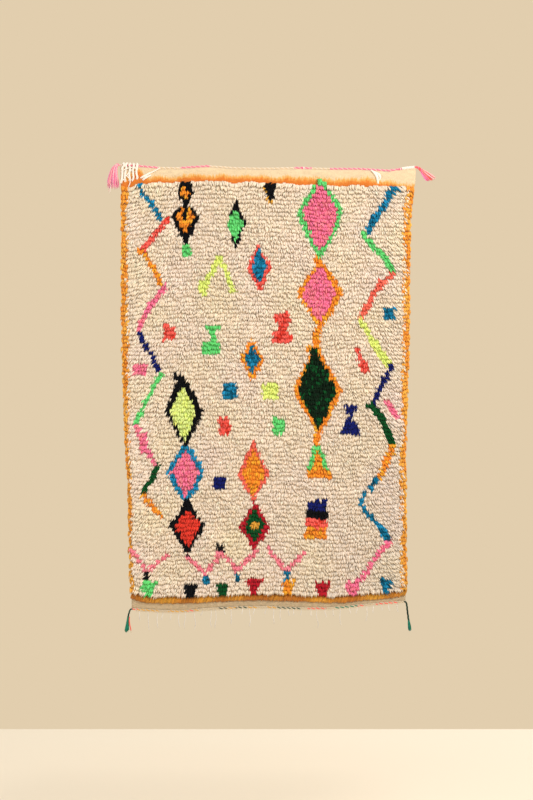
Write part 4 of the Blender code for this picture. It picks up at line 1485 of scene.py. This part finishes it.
fringe = {
    "strands": 34, "shortest": 14, "longest": 60, "shortShare": 1.3, "seed": 11,
    "left": -437, "right": 438, "scatter": 0.28, "top": 7.8, "depth": 3.3,
    "sway": 4, "swings": (0.2, 0.9, -0.4), "forward": 0.4, "tuckedIn": 2.5, "curl": 2.6, "kinkLength": 7,
    "stops": 40, "cuts": 19, "sides": 5, "plies": 3, "turnLength": 14, "width": 0.9,
    "ravelled": [(0, 0.5), (0.72, 0.6), (1, 2.4)],  # share of the length, and how far the plies stand apart
    "thinned": [(0, 1.0), (0.7, 1.0), (1, 0.35)],
    "dye": (0.82, 1.0), "lift": (0.2, 0.9, 0.1), "stripHeight": 2.4,
    "strip": {"stops": 300, "turns": 40, "offset": 0.5, "ply": 0.8, "cuts": (16, 12)},
}


def makeStrip():
    # The twisted yarn that the ends hang from
    strip = fringe["strip"]
    x = np.linspace(fringe["left"], fringe["right"], strip["stops"])
    drop = dropOf("clothEnd", x) + fringe["top"] + fringe["stripHeight"] / 2
    centres = np.stack((x, np.full(len(x), -fringe["depth"]), -drop), axis=1)
    plies = [stretches("dullWarp")] * 2
    return plyRope(centres, strip["turns"], strip["offset"], strip["ply"], plies, strip["cuts"])


def makeWarpEnd(root, length, sway, pick):
    count = fringe["stops"]
    share = np.linspace(0, 1, count)
    top = float(dropOf("clothEnd", root)) + fringe["top"]
    points = [(root, -fringe["depth"], -top + fringe["tuckedIn"]), (root, -fringe["depth"], -top)]
    reach = 0
    for number, swing in enumerate(fringe["swings"], 1):
        reach += sway * swing
        points.append((root + reach, -fringe["depth"] - fringe["forward"] * number,
                       -top - fringe["stripHeight"] - length * number / len(fringe["swings"])))
    centres = smoothPath(points, count)
    kink = pick.uniform(0, 6)
    kinks = np.linspace(kink, kink + length / fringe["kinkLength"], count)
    centres[:, 0] += fringe["curl"] * np.sin(kinks) * share
    apart = np.interp(share, *zip(*fringe["ravelled"]))
    width = fringe["width"] * np.interp(share, *zip(*fringe["thinned"]))
    plies = []
    for ply in range(fringe["plies"]):
        path = helixPaths(centres, length / fringe["turnLength"], apart, ply, fringe["plies"])
        bundle = layPly(strand(fringe["sides"], fringe["cuts"]), path, width, fringe["lift"])
        plies.append(oneDye(bundle, yarnDyes["warp"] * pick.uniform(*fringe["dye"])))
    return plies


def makeFringe():
    # The ends hang where the solid's do, so the draws are made in the same order
    shuffle = random.Random(fringe["seed"])
    scatter = fringe["scatter"]
    pitch = (fringe["right"] - fringe["left"]) / fringe["strands"]
    roots = [fringe["left"] + (number + 0.5) * pitch + shuffle.uniform(-scatter, scatter) * pitch
             for number in range(fringe["strands"])]
    pick = np.random.RandomState(99)
    bundles = [makeStrip()]
    for root in roots:
        longer = shuffle.random() ** fringe["shortShare"]
        length = fringe["shortest"] + (fringe["longest"] - fringe["shortest"]) * longer
        sway = shuffle.uniform(-fringe["sway"], fringe["sway"])
        bundles.extend(makeWarpEnd(root, length, sway, pick))
    return makePiece("warpFringe", gather(bundles), tuftWool)


warpFringe = makeFringe()
print("Warp ends hung:", len(warpFringe.data.polygons))

# Which piece stands for which solid

standsFor = [
    ([groundWeave, headingBand, edgingRope, *pilePieces], "rug", "pile"),
    ([topCordPiece], "top_cord", "top_cord"),
    ([footCordPiece], "bottom_cord", "bottom_cord"),
    ([warpFringe], "bottom_fringe", "warp"),
    ([cornerLashing], "corner_lashing", "lashing"),
    ([stitchLeft], "heading_stitch_left", "lashing"),
    ([stitchRight], "heading_stitch_right", "lashing"),
    ([tasselPieces["tasselTopLeft"]], "tassel_top_left", "coral_tuft"),
    ([tasselPieces["tasselTopRight"]], "tassel_top_right", "coral_tuft"),
    ([tasselPieces["tasselBottomLeft"]], "tassel_bottom_left", "green_tuft"),
    ([tasselPieces["tasselBottomRight"]], "tassel_bottom_right", "green_tuft"),
]
for piecesHere, node, slot in standsFor:
    for piece in piecesHere:
        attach(piece, "root")
        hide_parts(node)
others = [piece for piecesHere, node, slot in standsFor for piece in piecesHere if piece is not groundWeave]

# Floor, light and camera

studio = {
    "floorDrop": 1877,
    "floor": {"left": -6, "right": 6, "front": -9, "back": 0.12},
    "floorColour": dye(222, 208, 184),
    "floorRoughness": 0.8,
    "backColour": dye(226, 206, 174),
    "fillColour": (1.0, 0.97, 0.93),
    "fill": 0.83,
    "key": {"place": (2.3, -3.3, 1.3), "aim": (0.0, 0.0, -0.75), "size": 1.5, "power": 118},
    "soft": {"place": (-2.6, -3.6, 0.2), "aim": (0.0, 0.0, -0.75), "size": 2.2, "power": 30},
    "back": {"place": (1.4, 3.4, 0.9), "aim": (0.0, 0.0, -0.75), "size": 2.0, "power": 70},
    "camera": {"place": (-0.005, -5.015, -0.7616), "halfHeight": 1.32, "distance": 5.0},
}


def makeFloor():
    clearSelection()
    bpy.ops.mesh.primitive_plane_add(size=2, location=(0, 0, 0))
    floor = bpy.context.object
    floor.name = "floor"
    level = -studio["floorDrop"] * mm
    edges = studio["floor"]
    for vertex in floor.data.vertices:
        x = edges["left"] if vertex.co.x < 0 else edges["right"]
        y = edges["front"] if vertex.co.y < 0 else edges["back"]
        vertex.co = (x, y, level)
    paint = bpy.data.materials.new("floorPaint")
    paint.use_nodes = True
    shader = paint.node_tree.nodes["Principled BSDF"]
    shader.inputs["Base Color"].default_value = (*studio["floorColour"], 1)
    shader.inputs["Roughness"].default_value = studio["floorRoughness"]
    floor.data.materials.append(paint)


def addLight(name, spec):
    clearSelection()
    bpy.ops.object.light_add(type="AREA", location=spec["place"])
    light = bpy.context.object
    light.name = name
    light.data.shape = "DISK"
    light.data.size = spec["size"]
    light.data.energy = spec["power"]
    towards = np.array(spec["aim"]) - np.array(spec["place"])
    flat = math.hypot(towards[0], towards[1])
    turn = math.atan2(towards[1], towards[0]) - math.pi / 2
    light.rotation_euler = (math.atan2(flat, -towards[2]), 0, turn)


def lightRoom():
    world = bpy.data.worlds.new("room")
    bpy.context.scene.world = world
    world.use_nodes = True
    nodes, links = world.node_tree.nodes, world.node_tree.links
    seen = nodes["Background"]
    seen.inputs["Color"].default_value = (*studio["backColour"], 1)
    seen.inputs["Strength"].default_value = 1.0
    fill = nodes.new("ShaderNodeBackground")
    fill.inputs["Color"].default_value = (*studio["fillColour"], 1)
    fill.inputs["Strength"].default_value = studio["fill"]
    path = nodes.new("ShaderNodeLightPath")
    either = nodes.new("ShaderNodeMixShader")
    links.new(path.outputs["Is Camera Ray"], either.inputs["Fac"])
    links.new(fill.outputs["Background"], either.inputs[1])
    links.new(seen.outputs["Background"], either.inputs[2])
    links.new(either.outputs["Shader"], nodes["World Output"].inputs["Surface"])
    addLight("keyLight", studio["key"])
    addLight("softLight", studio["soft"])
    addLight("backLight", studio["back"])


def setCamera():
    spec = studio["camera"]
    clearSelection()
    bpy.ops.object.camera_add(location=spec["place"], rotation=(math.pi / 2, 0, 0))
    camera = bpy.context.object
    camera.data.sensor_fit = "VERTICAL"
    camera.data.angle = 2 * math.atan(spec["halfHeight"] / spec["distance"])
    bpy.context.scene.camera = camera


makeFloor()
lightRoom()
setCamera()
bpy.context.scene.view_settings.view_transform = "Standard"
clearSelection()
